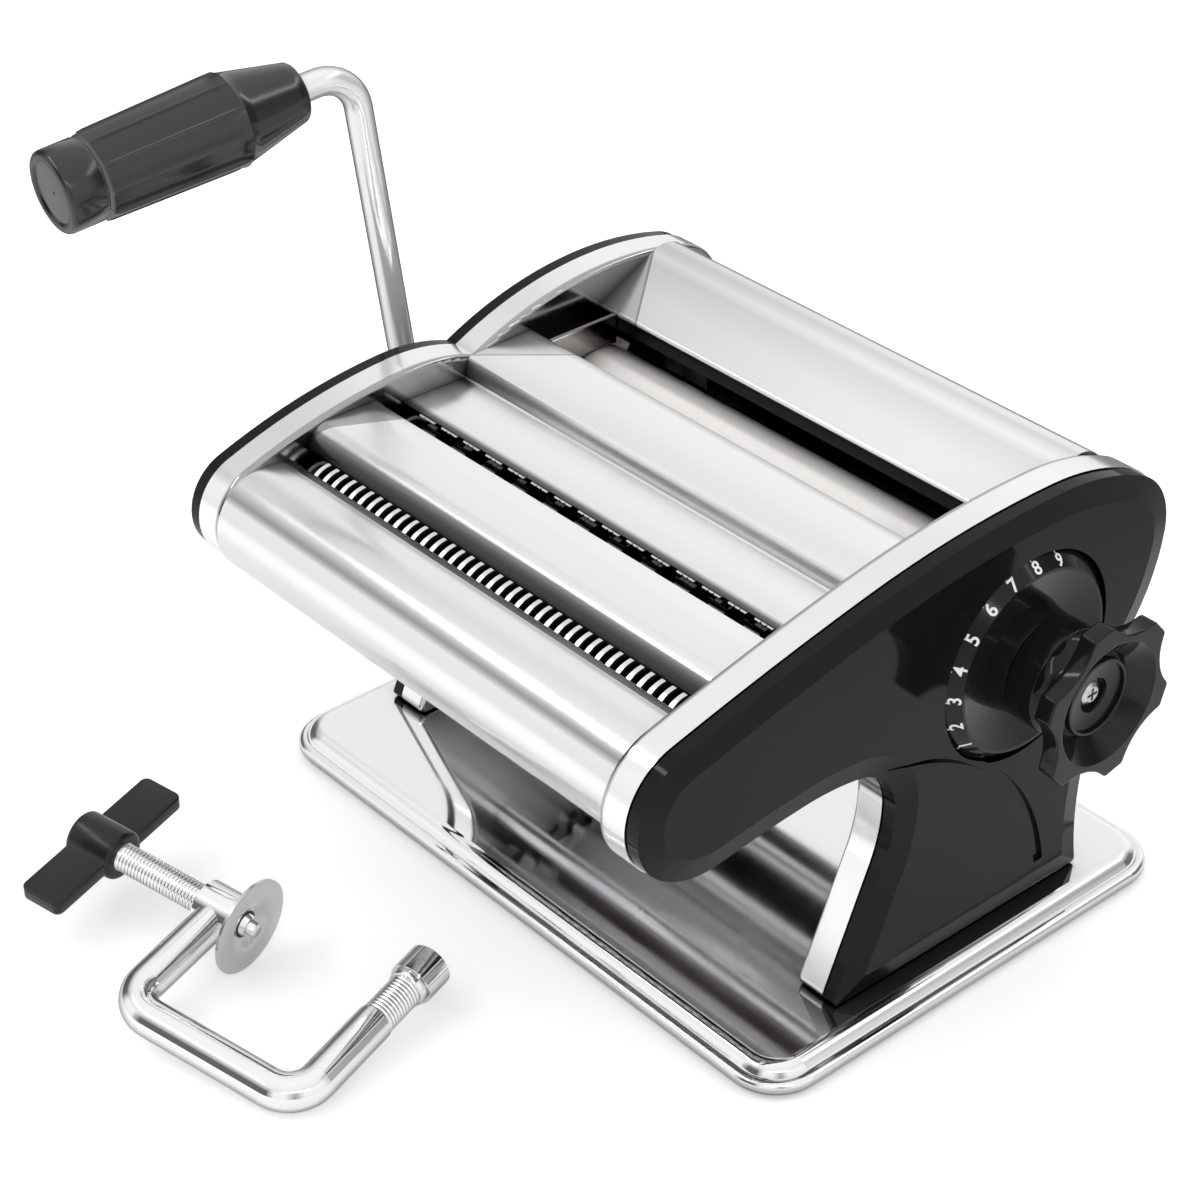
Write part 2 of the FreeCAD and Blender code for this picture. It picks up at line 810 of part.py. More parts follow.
def make_bridge():
    """Between the two cutter slots: a round front edge and a flat top."""
    round_start = float(S.bridge_top) - float(S.bridge_round)
    front_low = point(S.slot_one_rear, round_start - 2.4)
    front = point(S.slot_one_rear, round_start)
    top = point(S.slot_one_rear + S.bridge_round, S.bridge_top)
    rear = point(S.slot_two_front, S.bridge_top)
    bow = math.radians(90.0)
    edges = [line(front_low, front), arc_from_tangent(front, bow, top)[0], line(top, rear),
             line(rear, rear - point(0, 3.5))]
    return folded(edges, -S.panel_sheet.number, -S.frame_inner, S.frame_inner)


def make_deck():
    """The shelf behind the second slot, the step up and the deck in front of the rollers."""
    corners = [point(S.slot_two_rear, S.shelf_z - 3.5), point(S.slot_two_rear, S.shelf_z),
               point(S.step_y, S.shelf_z - 0.6), point(S.step_y + 1.6, S.deck_z),
               point(S.slot_three_front, S.deck_z + 0.6),
               point(S.slot_three_front, S.deck_z - 3.0)]
    return panel_from(corners, 0.9)


def make_rear_cover():
    """Rises from its lip over the rollers, rounds the top and runs down the back."""
    inset = float(S.rear_inset)
    lip = point(S.slot_three_rear, S.lip_z)
    ridge = point(S.ridge_y, S.ridge_z)
    slope = math.atan2(ridge.z - lip.z, ridge.y - lip.y)
    stops = [point(S.shoulder_y - inset * 0.6, S.shoulder_z - inset),
             point(S.back_y - inset, S.back_z),
             point(S.waist_y - inset, S.waist_z),
             point(S.waist_y - inset - 5.5, S.rear_tail_z)]
    edges = rounded_path([lip - point(0, S.lip_depth), lip, ridge], 1.0)
    edges += chain(ridge, slope, stops)
    return folded(edges, -S.panel_sheet.number, -S.frame_inner, S.frame_inner)


keep(formed("Hood", make_hood()), "front_hood")
keep(formed("Bridge", make_bridge()), "cutter_bridge_panel")
keep(formed("Deck", make_deck()), "deck_panel")
keep(formed("RearCover", make_rear_cover()), "rear_cover")


# --- gears -------------------------------------------------------------------------------

def gear(teeth, tip, root, tip_width, root_width, bore, x_start, x_end, y, z, phase):
    """A spur gear with straight-sided teeth, cut from sheet."""
    corners = []
    for index in range(teeth):
        middle = 2 * math.pi * (index + phase) / teeth
        for radius, width in ((root, -root_width), (tip, -tip_width),
                              (tip, tip_width), (root, root_width)):
            angle = middle + width / 2 / radius
            corners.append(point(float(y) + radius * math.cos(angle),
                                 float(z) + radius * math.sin(angle), x_start))
    face = Part.Face(Part.makePolygon(corners + corners[:1]))
    blank = face.extrude(Vector(float(x_end) - float(x_start), 0, 0))
    low, high = sorted((float(x_start) - 1, float(x_end) + 1))
    return blank.cut(drum(bore, low, high, y, z))


def smooth_gear(y, phase):
    left = float(S.roller_left)
    return gear(int(float(S.smooth_teeth)), float(S.smooth_tip), float(S.smooth_root),
                float(S.smooth_tip_width), float(S.smooth_root_width), S.journal_radius,
                left - float(S.gear_width), left, y, S.roller_z, phase)


def cutter_gear(name, phase):
    y, z = CUTTER_AXES[name]
    start = -float(WEB_OUTER) - float(S.bush_flange_thick) - float(S.bush_lip) - 0.3
    return gear(int(float(S.cutter_teeth)), float(S.cutter_tip), float(S.cutter_root),
                float(S.cutter_tip_width), float(S.cutter_root_width), S.cutter_journal,
                start - float(S.gear_width), start, y, z, phase)


keep(formed("FrontRollerGear", smooth_gear(FRONT_ROLLER_Y, 0.0)), "front_roller_gear")
keep(formed("RearRollerGear", smooth_gear(S.roller_y, 0.5)), "rear_roller_gear")
for gear_name, gear_phase in (("thin_cutter_front", 0.0), ("thin_cutter_rear", 0.5),
                              ("wide_cutter_front", 0.0), ("wide_cutter_rear", 0.5)):
    keep(formed(gear_name.title().replace("_", "") + "Gear", cutter_gear(gear_name, gear_phase)),
         gear_name + "_gear")


# --- smooth rollers ----------------------------------------------------------------------

# the driven roller: a barrel with journals, and a square socket for the crank
front_section = [
    (S.drive_end, 0.0),
    (S.drive_end, S.journal_radius),
    (S.roller_left, S.journal_radius),
    (S.roller_left, S.roller_radius),
    (S.roller_right, S.roller_radius),
    (S.roller_right, S.journal_radius),
    (S.roller_right + S.bush_length + 1.0, S.journal_radius),
    (S.roller_right + S.bush_length + 1.0, 0.0),
]
front_barrel = turned("FrontBarrel", front_section, 0.0, FRONT_ROLLER_Y, S.roller_z)
front_socket = box("FrontSocket", S.socket_depth + 1.0, S.socket_flats, S.socket_flats,
                   S.drive_end - 1.0, FRONT_ROLLER_Y - S.socket_flats / 2,
                   S.roller_z - S.socket_flats / 2)
keep(cut("FrontRoller", front_barrel, [front_socket]), "front_smooth_roller")

JOURNAL_REACH = S.block_seat + 0.2
rear_section = [
    (S.roller_left - JOURNAL_REACH - S.gear_width, S.core_bore),
    (S.roller_right + JOURNAL_REACH, S.core_bore),
    (S.roller_right + JOURNAL_REACH, S.journal_radius),
    (S.roller_right, S.journal_radius),
    (S.roller_right, S.roller_radius),
    (S.roller_left, S.roller_radius),
    (S.roller_left, S.journal_radius),
    (S.roller_left - JOURNAL_REACH - S.gear_width, S.journal_radius),
]
keep(turned("RearRoller", rear_section, 0.0, S.roller_y, S.roller_z), "rear_smooth_roller")


def flanged_bush(name, sign, bore, wall, flange_width, length, y, z):
    """A bush pressed through the web, with its flange on the web's outer face."""
    outer = bore + wall
    flange = outer + flange_width
    inner_x, web_x = S.frame_inner, WEB_OUTER
    section = [(inner_x, bore), (inner_x + length, bore), (inner_x + length, outer),
               (web_x + S.bush_flange_thick, outer), (web_x + S.bush_flange_thick, flange),
               (web_x, flange), (web_x, outer), (inner_x, outer)]
    section = [(along * sign, radius) for along, radius in section]
    return turned(name, section, 0.0, y, z)


roller_bore = S.journal_radius + S.running_fit
roller_bushes = [flanged_bush("RollerBush%s" % side, sign, roller_bore,
                              S.bush_wall - S.running_fit, S.bush_flange, S.bush_length,
                              FRONT_ROLLER_Y, S.roller_z)
                 for side, sign in (("Left", -1), ("Right", 1))]
keep(group("RollerBushes", roller_bushes), "front_roller_bushes")


# --- thickness adjuster ------------------------------------------------------------------

def make_block(sign):
    """Slides in the frame's window: a bore for the roller and a slot for the eccentric."""
    start = float(S.frame_inner) - 0.6
    seat = start + float(S.block_seat)
    end = seat + float(S.block_pocket)
    y, z = float(S.roller_y), float(S.roller_z)
    half_width, half_height = float(S.block_width) / 2, float(S.block_height) / 2
    low, high = sorted((sign * start, sign * end))
    block = cuboid((low, high), (y - half_width, y + half_width), (z - half_height, z + half_height))
    upright = [edge for edge in block.Edges if abs(edge.tangentAt(0).x) > 0.9]
    block = block.makeFillet(2.0, upright)
    low, high = sorted((sign * (start - 1), sign * (end + 1)))
    block = block.cut(drum(S.journal_radius + S.running_fit, low, high, y, z))
    slot_half = float(S.disc_radius) + float(S.yoke_clearance)
    reach = float(S.disc_radius) + float(S.eccentric) + 0.6
    low, high = sorted((sign * seat, sign * (end + 1)))
    centre = float(ADJUSTER_Z)
    return block.cut(cuboid((low, high), (y - slot_half, y + slot_half),
                            (centre - reach, centre + reach)))


keep(formed("RightBlock", make_block(1)), "right_bearing_block")
keep(formed("LeftBlock", make_block(-1)), "left_bearing_block")
DISC_START = S.frame_inner - 0.6 + S.block_seat + 0.4


for side, sign in (("right", 1), ("left", -1)):
    disc_low = DISC_START if sign > 0 else -(DISC_START + S.disc_thick)
    disc = cylinder(side.title() + "DiscBlank", S.disc_radius, S.disc_thick, disc_low, S.roller_y,
                    ADJUSTER_Z + S.eccentric)
    disc_bore = cylinder(side.title() + "DiscBore", S.core_shaft, S.disc_thick + 2.0,
                         disc_low - 1.0, S.roller_y, ADJUSTER_Z)
    keep(cut(side.title() + "Disc", disc, [disc_bore]), side + "_eccentric_disc")

SQUARE_START = PLATE_START + S.plate_thick + 0.4
SHAFT_END = S.spring_end
DISC_END = DISC_START + S.disc_thick


# runs through the hollow roller from the far plate to the knob, with a square end
CORE_START = -(PLATE_START + S.plate_thick + 0.6)
SQUARE_END = S.spring_seat - 0.3
shaft_pieces = [
    cylinder("ShaftCore", S.core_shaft, DISC_END - CORE_START, CORE_START, S.roller_y, ADJUSTER_Z),
    cylinder("ShaftCollar", S.stub_radius, SQUARE_START - DISC_END, DISC_END, S.roller_y,
             ADJUSTER_Z),
    box("ShaftSquare", SQUARE_END - SQUARE_START, S.square_side, S.square_side, SQUARE_START,
        S.roller_y - S.square_side / 2, ADJUSTER_Z - S.square_side / 2),
    cylinder("ShaftTail", S.tail_radius, SHAFT_END - SQUARE_END, SQUARE_END, S.roller_y,
             ADJUSTER_Z),
]
shaft_tap = cylinder("ShaftTap", S.screw_shank, 8.0, SHAFT_END - 7.0, S.roller_y, ADJUSTER_Z)
keep(cut("AdjusterShaft", fuse("ShaftBody", shaft_pieces), [shaft_tap]), "adjuster_shaft")


def post_places():
    middle_y, middle_z = float(S.roller_y), float(ADJUSTER_Z)
    circle = float(S.post_circle)
    return [(middle_y + circle * math.cos(math.radians(angle)),
             middle_z + circle * math.sin(math.radians(angle))) for angle in (40.0, 150.0, 270.0)]


def arc_slot(circle, half_width, middle, half_turn, x_low, x_high, y, z):
    """A curved slot about the X axis, open along X."""
    spots = [math.radians(middle + turn) for turn in (-half_turn, 0.0, half_turn)]
    rims = []
    for radius in (circle - half_width, circle + half_width):
        rims.append([point(y + radius * math.cos(a), z + radius * math.sin(a), x_low)
                     for a in spots])
    inner, outer = rims
    ends = [Part.Arc(inner[index], point(y + circle * math.cos(spots[index])
                                         + turn * half_width * math.sin(spots[index]),
                                         z + circle * math.sin(spots[index])
                                         - turn * half_width * math.cos(spots[index]), x_low),
                     outer[index]).toShape() for index, turn in ((0, 1), (2, -1))]
    edges = [Part.Arc(*inner).toShape(), Part.Arc(*outer).toShape()] + ends
    face = Part.Face(Part.Wire(Part.__sortEdges__(edges)))
    return face.extrude(Vector(x_high - x_low, 0, 0))


def make_plate(sign, bore, slotted):
    """A round plate that stands off the frame and carries the adjuster shaft."""
    start = float(PLATE_START)
    low, high = sorted((sign * start, sign * (start + float(S.plate_thick))))
    y, z = float(S.roller_y), float(ADJUSTER_Z)
    plate = drum(S.plate_radius, low, high, y, z)
    plate = plate.cut(drum(bore + S.running_fit, low - 1, high + 1, y, z))
    if slotted:
        plate = plate.cut(arc_slot(float(S.index_circle), float(S.index_hole), 90.0,
                                   float(S.index_turn), low - 1, high + 1, y, z))
    return plate


keep(formed("IndexPlate", make_plate(1, S.stub_radius, True)), "index_plate")
keep(formed("FarPlate", make_plate(-1, S.core_shaft, False)), "far_shaft_plate")

for side, sign in (("right", 1), ("left", -1)):
    posts = []
    for index, (post_y, post_z) in enumerate(post_places()):
        post_start = WEB_OUTER if sign > 0 else -PLATE_START
        posts.append(cylinder("%sPost%d" % (side.title(), index), S.post_radius, S.plate_offset,
                              post_start, post_y, post_z))
    keep(group(side.title() + "Posts", posts), side + "_plate_posts")


# --- dial and knob -----------------------------------------------------------------------

dial_section = [
    (S.dial_back, S.neck_radius - 4.0),
    (S.dial_back, S.dial_radius),
    (S.dial_edge, S.dial_radius),
    (S.dial_face, S.dial_face_radius),
    (S.dial_face, S.dial_face_radius - 0.8),
    (S.dial_dish, S.neck_radius + 1.0),
    (S.collar_end, S.neck_radius),
    (S.collar_end, S.neck_radius - 4.0),
]
keep(turned("Dial", dial_section, 0.0, S.roller_y, ADJUSTER_Z), "thickness_dial")


def knob_outline(x_start, y, z):
    """Lobes with flat ends, and one arc for the hollow between two of them."""
    lobes = int(float(S.knob_lobes))
    step = 2 * math.pi / lobes
    half = math.asin(float(S.lobe_half_width) / float(S.knob_radius))

    def spot(radius, angle):
        return point(float(y) + float(radius) * math.cos(angle),
                     float(z) + float(radius) * math.sin(angle), x_start)

    edges = []
    for index in range(lobes):
        middle = math.radians(float(S.knob_phase)) + step * index
        corner = spot(S.knob_radius, middle + half)
        hollow = spot(S.knob_valley, middle + step / 2)
        edges.append(Part.makeLine(spot(S.knob_radius, middle - half), corner))
        edges.append(Part.Arc(corner, hollow,
                              spot(S.knob_radius, middle + step - half)).toShape())
    return Part.Wire(Part.__sortEdges__(edges))


def make_knob():
    """A lobed wheel with a dished front, on a hub whose spigot carries the dial."""
    y, z = S.roller_y, ADJUSTER_Z
    back, front = float(S.wheel_back), float(S.knob_front)
    depth, hub_front = float(S.knob_dish_depth), float(S.hub_front)
    boss_radius, boss_front = float(S.boss_radius), float(S.boss_front)
    wheel = Part.Face(knob_outline(back, y, z)).extrude(Vector(front - back, 0, 0))
    dish = Part.makeCone(boss_radius, float(S.knob_dish), depth, point(y, z, front - depth),
                         X_AXIS)
    taper = Part.makeCone(float(S.hub_radius), float(S.stem_radius),
                          float(S.hub_radius) - float(S.stem_radius), point(y, z, hub_front),
                          X_AXIS)
    stem = drum(S.stem_radius, hub_front, back, y, z)
    spigot = drum(S.neck_radius - 4.0, S.dial_back, S.hub_back, y, z)
    hub = drum(S.hub_radius, S.hub_back, hub_front, y, z)
    knob = wheel.fuse([spigot, hub, taper, stem]).removeSplitter().cut(dish)
    knob = knob.fuse(drum(boss_radius, front - depth, boss_front, y, z))
    recess = drum(boss_radius - float(S.boss_wall), boss_front - float(S.boss_recess),
                  front + 1, y, z)
    square = prism(S.square_side + S.running_fit * 4, S.dial_back - 1, S.spring_seat + 0.5, y, z)
    bore = drum(S.spring_bore, S.spring_seat, front + 1, y, z)
    return knob.cut(recess).cut(square).cut(bore)


keep(formed("Knob", make_knob()), "dial_knob")


# the pin that runs in the index plate's slot and stops the dial at both ends
stop_pin = cylinder("StopPin", S.index_pin, S.dial_back - PLATE_START - 0.3, PLATE_START + 0.3,
                    S.roller_y, ADJUSTER_Z + S.index_circle)
keep(stop_pin, "dial_stop_pin")


def make_spring():
    radius = float(S.spring_bore) - float(S.spring_wire) - 0.4
    wire = float(S.spring_wire)
    start, end = float(S.spring_seat) + wire, float(S.spring_end) - wire
    helix = Part.makeHelix((end - start) / float(S.spring_turns), end - start, radius)
    ring = Part.Wire(Part.makeCircle(wire, Vector(radius, 0, 0), Y_AXIS))
    coil = Part.Wire(helix).makePipeShell([ring], True, True)
    coil.rotate(Vector(), Y_AXIS, 90.0)
    coil.translate(point(S.roller_y, ADJUSTER_Z, start))
    return coil


keep(formed("KnobSpring", make_spring()), "knob_spring")


# pan head with a cross recess; its washer holds the spring on the shaft
HEAD_START = SHAFT_END + 0.6
HEAD_END = SHAFT_END + 2.6
knob_screw_section = [
    (SHAFT_END - 6.5, 0.0),
    (HEAD_END, 0.0),
    (HEAD_END, S.screw_head - 1.0),
    (HEAD_END - 0.7, S.screw_head),
    (HEAD_START, S.screw_head),
    (HEAD_START, S.spring_bore - 0.3),
    (SHAFT_END, S.spring_bore - 0.3),
    (SHAFT_END, S.screw_shank),
    (SHAFT_END - 6.5, S.screw_shank),
]
screw_blank = turned("KnobScrewBlank", knob_screw_section, 0.0, S.roller_y, ADJUSTER_Z)
screw_cross = [box("KnobScrewSlot%d" % index, 2.4, width, height, HEAD_END - 1.4,
                   S.roller_y - as_size(width) / 2, ADJUSTER_Z - as_size(height) / 2)
               for index, (width, height) in enumerate(((3.6, 0.8), (0.8, 3.6)))]
keep(cut("KnobScrew", screw_blank, screw_cross), "knob_screw")


# --- cutters -----------------------------------------------------------------------------

def ring_places(rings, share, offset):
    """Start and end along X of each ring of a cutter."""
    span = float(S.cutter_right) - float(S.cutter_left) - 4.0
    pitch = span / rings
    first = float(S.cutter_left) + 2.0 + pitch * offset
    return [(first + pitch * index, first + pitch * (index + share)) for index in range(rings)]


def make_cutter(name, rings, share, offset, driven):
    """A grooved roller with journals; the driven one has a square socket for the crank."""
    y, z = CUTTER_AXES[name]
    left_end = float(S.drive_end) if driven else -float(WEB_OUTER) - 6.5
    right_end = float(S.frame_inner) + float(S.bush_length)
    journal, core, tip = (float(size) for size in (S.cutter_journal, S.cutter_core,
                                                   S.cutter_radius))
    outline = [(left_end, 0.0), (left_end, journal), (float(S.cutter_left), journal),
               (float(S.cutter_left), core)]
    for start, end in ring_places(rings, share, offset):
        outline += [(start, core), (start, tip), (end, tip), (end, core)]
    outline += [(float(S.cutter_right), core), (float(S.cutter_right), journal),
                (right_end, journal), (right_end, 0.0)]
    corners = [point(float(y), float(z) + radius, along) for along, radius in outline]
    face = Part.Face(Part.makePolygon(corners + corners[:1]))
    cutter = face.revolve(point(y, z), X_AXIS, 360.0)
    if driven:
        cutter = cutter.cut(prism(S.socket_flats, left_end - 1,
                                  left_end + float(S.socket_depth), y, z))
    return cutter


cutter_kinds = {"thin": (int(float(S.thin_rings)), float(S.thin_ring_share)),
                "wide": (int(float(S.wide_rings)), float(S.wide_ring_share))}
for kind, (ring_count, ring_share) in cutter_kinds.items():
    for place_name, ring_offset in (("front", 0.0), ("rear", 0.5)):
        cutter_name = "%s_cutter_%s" % (kind, place_name)
        shape = make_cutter(cutter_name, ring_count, ring_share, ring_offset,
                            place_name == "rear")
        keep(formed(cutter_name.title().replace("_", ""), shape), cutter_name)
    bushes = []
    for place_name in ("front", "rear"):
        bush_y, bush_z = CUTTER_AXES["%s_cutter_%s" % (kind, place_name)]
        for side, sign in (("Left", -1), ("Right", 1)):
            bushes.append(flanged_bush(
                "%sBush%s%s" % (kind.title(), place_name.title(), side), sign,
                S.cutter_journal + S.running_fit, S.cutter_bush_wall - S.running_fit,
                S.cutter_bush_flange, S.frame_sheet + S.bush_flange_thick + S.bush_lip,
                bush_y, bush_z))
    keep(group(kind.title() + "Bushes", bushes), kind + "_cutter_bushes")


def make_combs(kind, rings, share):
    """Two strips whose fingers reach into the grooves and lift the dough off."""
    strips = []
    for place_name, offset, outward in (("front", 0.0, -1), ("rear", 0.5, 1)):
        y, z = (float(size) for size in CUTTER_AXES["%s_cutter_%s" % (kind, place_name)])
        tip, core = float(S.cutter_radius), float(S.cutter_core)
        sheet_thick, depth = float(S.comb_sheet), float(S.comb_depth)
        top = z - core - float(S.comb_clearance)
        strip_top = z - tip - float(S.comb_clearance)
        y_low, y_high = sorted((y, y + outward * sheet_thick))
        inner = float(S.frame_inner)
        strip = cuboid((-inner, inner), (y_low, y_high), (strip_top - depth, strip_top))
        places = ring_places(rings, share, offset)
        pitch = places[1][0] - places[0][0]
        groove = pitch * (1 - share)
        fingers = [cuboid((end + 0.3, end + groove - 0.3), (y_low, y_high), (strip_top, top))
                   for start, end in places[:-1]]
        strips.append(strip.fuse(fingers).removeSplitter())
    return Part.Compound(strips)


for kind, (ring_count, ring_share) in cutter_kinds.items():
    keep(formed(kind.title() + "Combs", make_combs(kind, ring_count, ring_share)),
         kind + "_cutter_combs")


# --- tie bars, scrapers, guides, screws --------------------------------------------------

ties = [cylinder("TieRod%d" % index, S.tie_radius, S.frame_inner * 2, -S.frame_inner, y, z)
        for index, (y, z) in enumerate(TIE_PLACES)]
keep(group("TieRods", ties), "tie_rods")

screws = []
for index, (tie_y, tie_z) in enumerate(TIE_PLACES):
    for side, sign in (("Left", -1), ("Right", 1)):
        section = [(S.frame_inner, 0.0), (WEB_OUTER + S.tie_head_thick, 0.0),
                   (WEB_OUTER + S.tie_head_thick, S.tie_head_radius),
                   (WEB_OUTER, S.tie_head_radius), (WEB_OUTER, S.tie_screw_radius),
                   (S.frame_inner, S.tie_screw_radius)]
        section = [(along * sign, radius) for along, radius in section]
        screws.append(turned("TieScrew%s%d" % (side, index), section, 0.0, tie_y, tie_z))
keep(group("TieScrews", screws), "tie_rod_screws")


def make_frame_screws():
    """Screws that hold the frames' feet down on the base, with heads above the flange."""
    shapes = []
    for sign in (-1, 1):
        for x, y in frame_screw_places(sign):
            seat = float(S.base_top) + float(S.frame_sheet)
            head = Part.makeCylinder(float(S.tie_head_radius) - 0.6, 2.0, Vector(x, y, seat))
            shank = Part.makeCylinder(float(S.frame_screw_radius), 5.0, Vector(x, y, seat - 5.0))
            shapes.append(head.fuse(shank).removeSplitter())
    return Part.Compound(shapes)


keep(formed("FrameScrews", make_frame_screws()), "frame_screws")


def make_scraper(axis_y, side):
    """A blade along the underside of a smooth roller, held between the frames."""
    radius = float(S.roller_radius) + float(S.scraper_clearance)
    tip_angle = math.radians(-90.0 + side * 4.0)
    y, z = float(axis_y), float(S.roller_z)
    tip = point(y + radius * math.cos(tip_angle), z + radius * math.sin(tip_angle))
    heel = tip + point(side * 1.0, -7.0)
    foot = heel + point(side * 4.0, 0.0)
    blade = folded(rounded_path([tip, heel, foot], 1.2), side * float(S.scraper_sheet),
                   -S.frame_inner, S.frame_inner)
    for shift in (-float(S.block_travel), 0.0, float(S.block_travel)):
        blade = blade.cut(drum(S.smooth_tip + S.scraper_clearance, -S.frame_inner - 1.0,
                               S.roller_left + 0.5, y + shift, z))
    return blade


keep(formed("FrontScraper", make_scraper(FRONT_ROLLER_Y, -1)), "front_roller_scraper")
keep(formed("RearScraper", make_scraper(S.roller_y, 1)), "rear_roller_scraper")


def make_guide(sign):
    """Closes the end of the roller slot and covers the gap beside it."""
    x_in = float(S.guide_x)
    x_out = x_in + float(S.guide_thick)
    low, high = sorted((sign * x_in, sign * x_out))
    lip = float(S.panel_sheet) + float(S.guide_gap)
    y_low, y_high = float(S.slot_three_front) + lip, float(S.slot_three_rear) - lip
    z_low = float(S.roller_z)
    plate = cuboid((low, high), (y_low, y_high), (z_low, float(S.lip_z) + 0.6))
    clearance = float(S.guide_clearance)
    widest = float(S.block_travel)
    for axis_y, slack in ((float(FRONT_ROLLER_Y), 0.0), (float(S.roller_y), widest)):
        for shift in (-slack, 0.0, slack):
            plate = plate.cut(drum(float(S.roller_radius) + clearance, low - 1, high + 1,
                                   axis_y + shift, S.roller_z))
    low, high = sorted((sign * x_in, sign * float(S.frame_inner)))
    guard = cuboid((low, high), (y_low, y_high), (float(S.guard_z), float(S.guard_z) + 1.0))
    pieces = plate.fuse(guard).removeSplitter().Solids
    return max(pieces, key=lambda piece: piece.Volume)


keep(formed("LeftGuide", make_guide(-1)), "left_dough_guide")
keep(formed("RightGuide", make_guide(1)), "right_dough_guide")


# --- crank -------------------------------------------------------------------------------

def crank_points():
    drive = point(FRONT_ROLLER_Y, S.roller_z, float(S.crank_plane))
    elbow = point(S.elbow_y, S.elbow_z, S.crank_plane)
    lean = Vector(float(S.grip_lean_x), -1.0, float(S.grip_lean_z)).normalize()
    return drive, elbow, lean


def make_crank_rod():
    """A bent rod: square drive end, arm up to the elbow, and the spindle of the grip."""
    drive, elbow, lean = crank_points()
    inner = Vector(float(S.drive_end) - 0.6, drive.y, drive.z)
    spindle_end = elbow + lean * (float(S.grip_start) + float(S.grip_length) - 8.0)
    thick_end = elbow + lean * (float(S.grip_start) + 4.0)
    bar = round_bar(rounded_path([inner, drive, elbow, thick_end], float(S.crank_bend)),
                    S.crank_radius)
    spindle = Part.makeCylinder(3.0, (spindle_end - thick_end).Length + 0.5,
                                thick_end - lean * 0.5, lean)
    square = prism(S.crank_flats, S.drive_end - 0.7, S.drive_end + S.socket_depth - 1.0,
                   FRONT_ROLLER_Y, S.roller_z)
    return bar.fuse([spindle, square]).removeSplitter()


def along_grip(shape):
    """Moves a shape made along +X from the grip's near end into its place."""
    _, elbow, lean = crank_points()
    shape.Placement = Placement(elbow + lean * float(S.grip_start), Rotation(X_AXIS, lean))
    return shape


def turned_shape(stations, axis_y=0.0):
    """Turned about the line along X at axis_y; stations are (x, radius) pairs."""
    corners = [Vector(float(along), axis_y + float(radius), 0) for along, radius in stations]
    face = Part.Face(Part.makePolygon(corners + corners[:1]))
    return face.revolve(Vector(0, axis_y, 0), X_AXIS, 360.0)


SPINDLE_BORE = 3.05


def make_grip():
    """A cone, a ribbed barrel and a collar, hollow for its spindle."""
    cone, length = float(S.grip_cone_length), float(S.grip_length)
    body_end = length - float(S.grip_cap_length)
    stations = [(4.2, SPINDLE_BORE), (4.2, 4.2), (0.0, 4.2), (0.0, float(S.grip_cone_radius)),
                (cone, float(S.grip_radius) - 0.6), (cone + 0.8, float(S.grip_radius)),
                (body_end, float(S.grip_end_radius)), (body_end, 6.4), (body_end - 3.0, 6.4),
                (body_end - 3.0, SPINDLE_BORE)]
    grip = turned_shape(stations)
    ribs, width = int(float(S.grip_ribs)), float(S.grip_groove)
    groove_start = Vector(cone + 2.5, 0, float(S.grip_radius) + 0.2)
    along_barrel = Vector(body_end - cone - 0.8, 0, float(S.grip_end_radius - S.grip_radius))
    for index in range(ribs):
        groove = Part.makeCylinder(width, along_barrel.Length - 3.0, groove_start, along_barrel)
        groove.rotate(Vector(), X_AXIS, 360.0 * index / ribs)
        grip = grip.cut(groove)
    return along_grip(grip)


def make_grip_cap():
    length, start = float(S.grip_length), float(S.grip_length) - float(S.grip_cap_length)
    radius = float(S.grip_cap_radius)
    stations = [(start, 5.4), (start, radius - 0.8), (start + 0.8, radius),
                (length - 1.2, radius), (length, radius - 1.2), (length, radius - 3.0),
                (length - 0.8, radius - 3.4), (length - 0.8, 0.0), (length - 2.6, 0.0),
                (length - 2.6, 5.4)]
    return along_grip(turned_shape(stations))


def make_grip_retainer():
    """A spring washer on the spindle's end that keeps the grip on."""
    seat = float(S.grip_length) - float(S.grip_cap_length) - 3.0 + 0.1
    stations = [(seat, 3.0), (seat, 5.0), (seat + 1.0, 5.0), (seat + 1.0, 3.0)]
    return along_grip(turned_shape(stations))


keep(formed("CrankRod", make_crank_rod()), "crank_rod")
keep(formed("CrankGrip", make_grip()), "crank_grip")
keep(formed("GripCap", make_grip_cap()), "crank_grip_cap")
keep(formed("GripRetainer", make_grip_retainer()), "crank_grip_retainer")


# --- table clamp -------------------------------------------------------------------------

CLAMP_PLACE = Placement(point(S.clamp_y, S.clamp_z, S.clamp_x),
                        Rotation(float(S.clamp_yaw), float(S.clamp_pitch), float(S.clamp_roll)))


def clamped(shape):
    shape.Placement = CLAMP_PLACE
    return shape


def make_clamp_rod():
    """A U of round bar with a screw boss on one arm and a headed hook on the other."""
    back, arm, step = float(S.clamp_back), float(S.clamp_arm), float(S.clamp_step)
    corners = [Vector(0, arm, 0), Vector(), Vector(back, 0, 0), Vector(back, step, 0)]
    bar = round_bar(rounded_path(corners, float(S.clamp_bend)), S.clamp_radius)
    hook, head = float(S.clamp_hook), float(S.clamp_head_length)
    neck = Part.makeCylinder(float(S.clamp_neck), hook - step + 1, Vector(back, step - 0.5, 0), Y_AXIS)
    cap = Part.makeCylinder(float(S.clamp_head_radius), head, Vector(back, hook, 0), Y_AXIS)
    length = float(S.clamp_boss_length)
    boss = Part.makeCylinder(float(S.clamp_boss_radius), length, Vector(-length / 2, arm, 0), X_AXIS)
    bore = Part.makeCylinder(float(S.thread_radius) + float(S.running_fit), length + 20,
                             Vector(-length / 2 - 10, arm, 0), X_AXIS)
    return clamped(bar.fuse([neck, cap, boss]).removeSplitter().cut(bore))


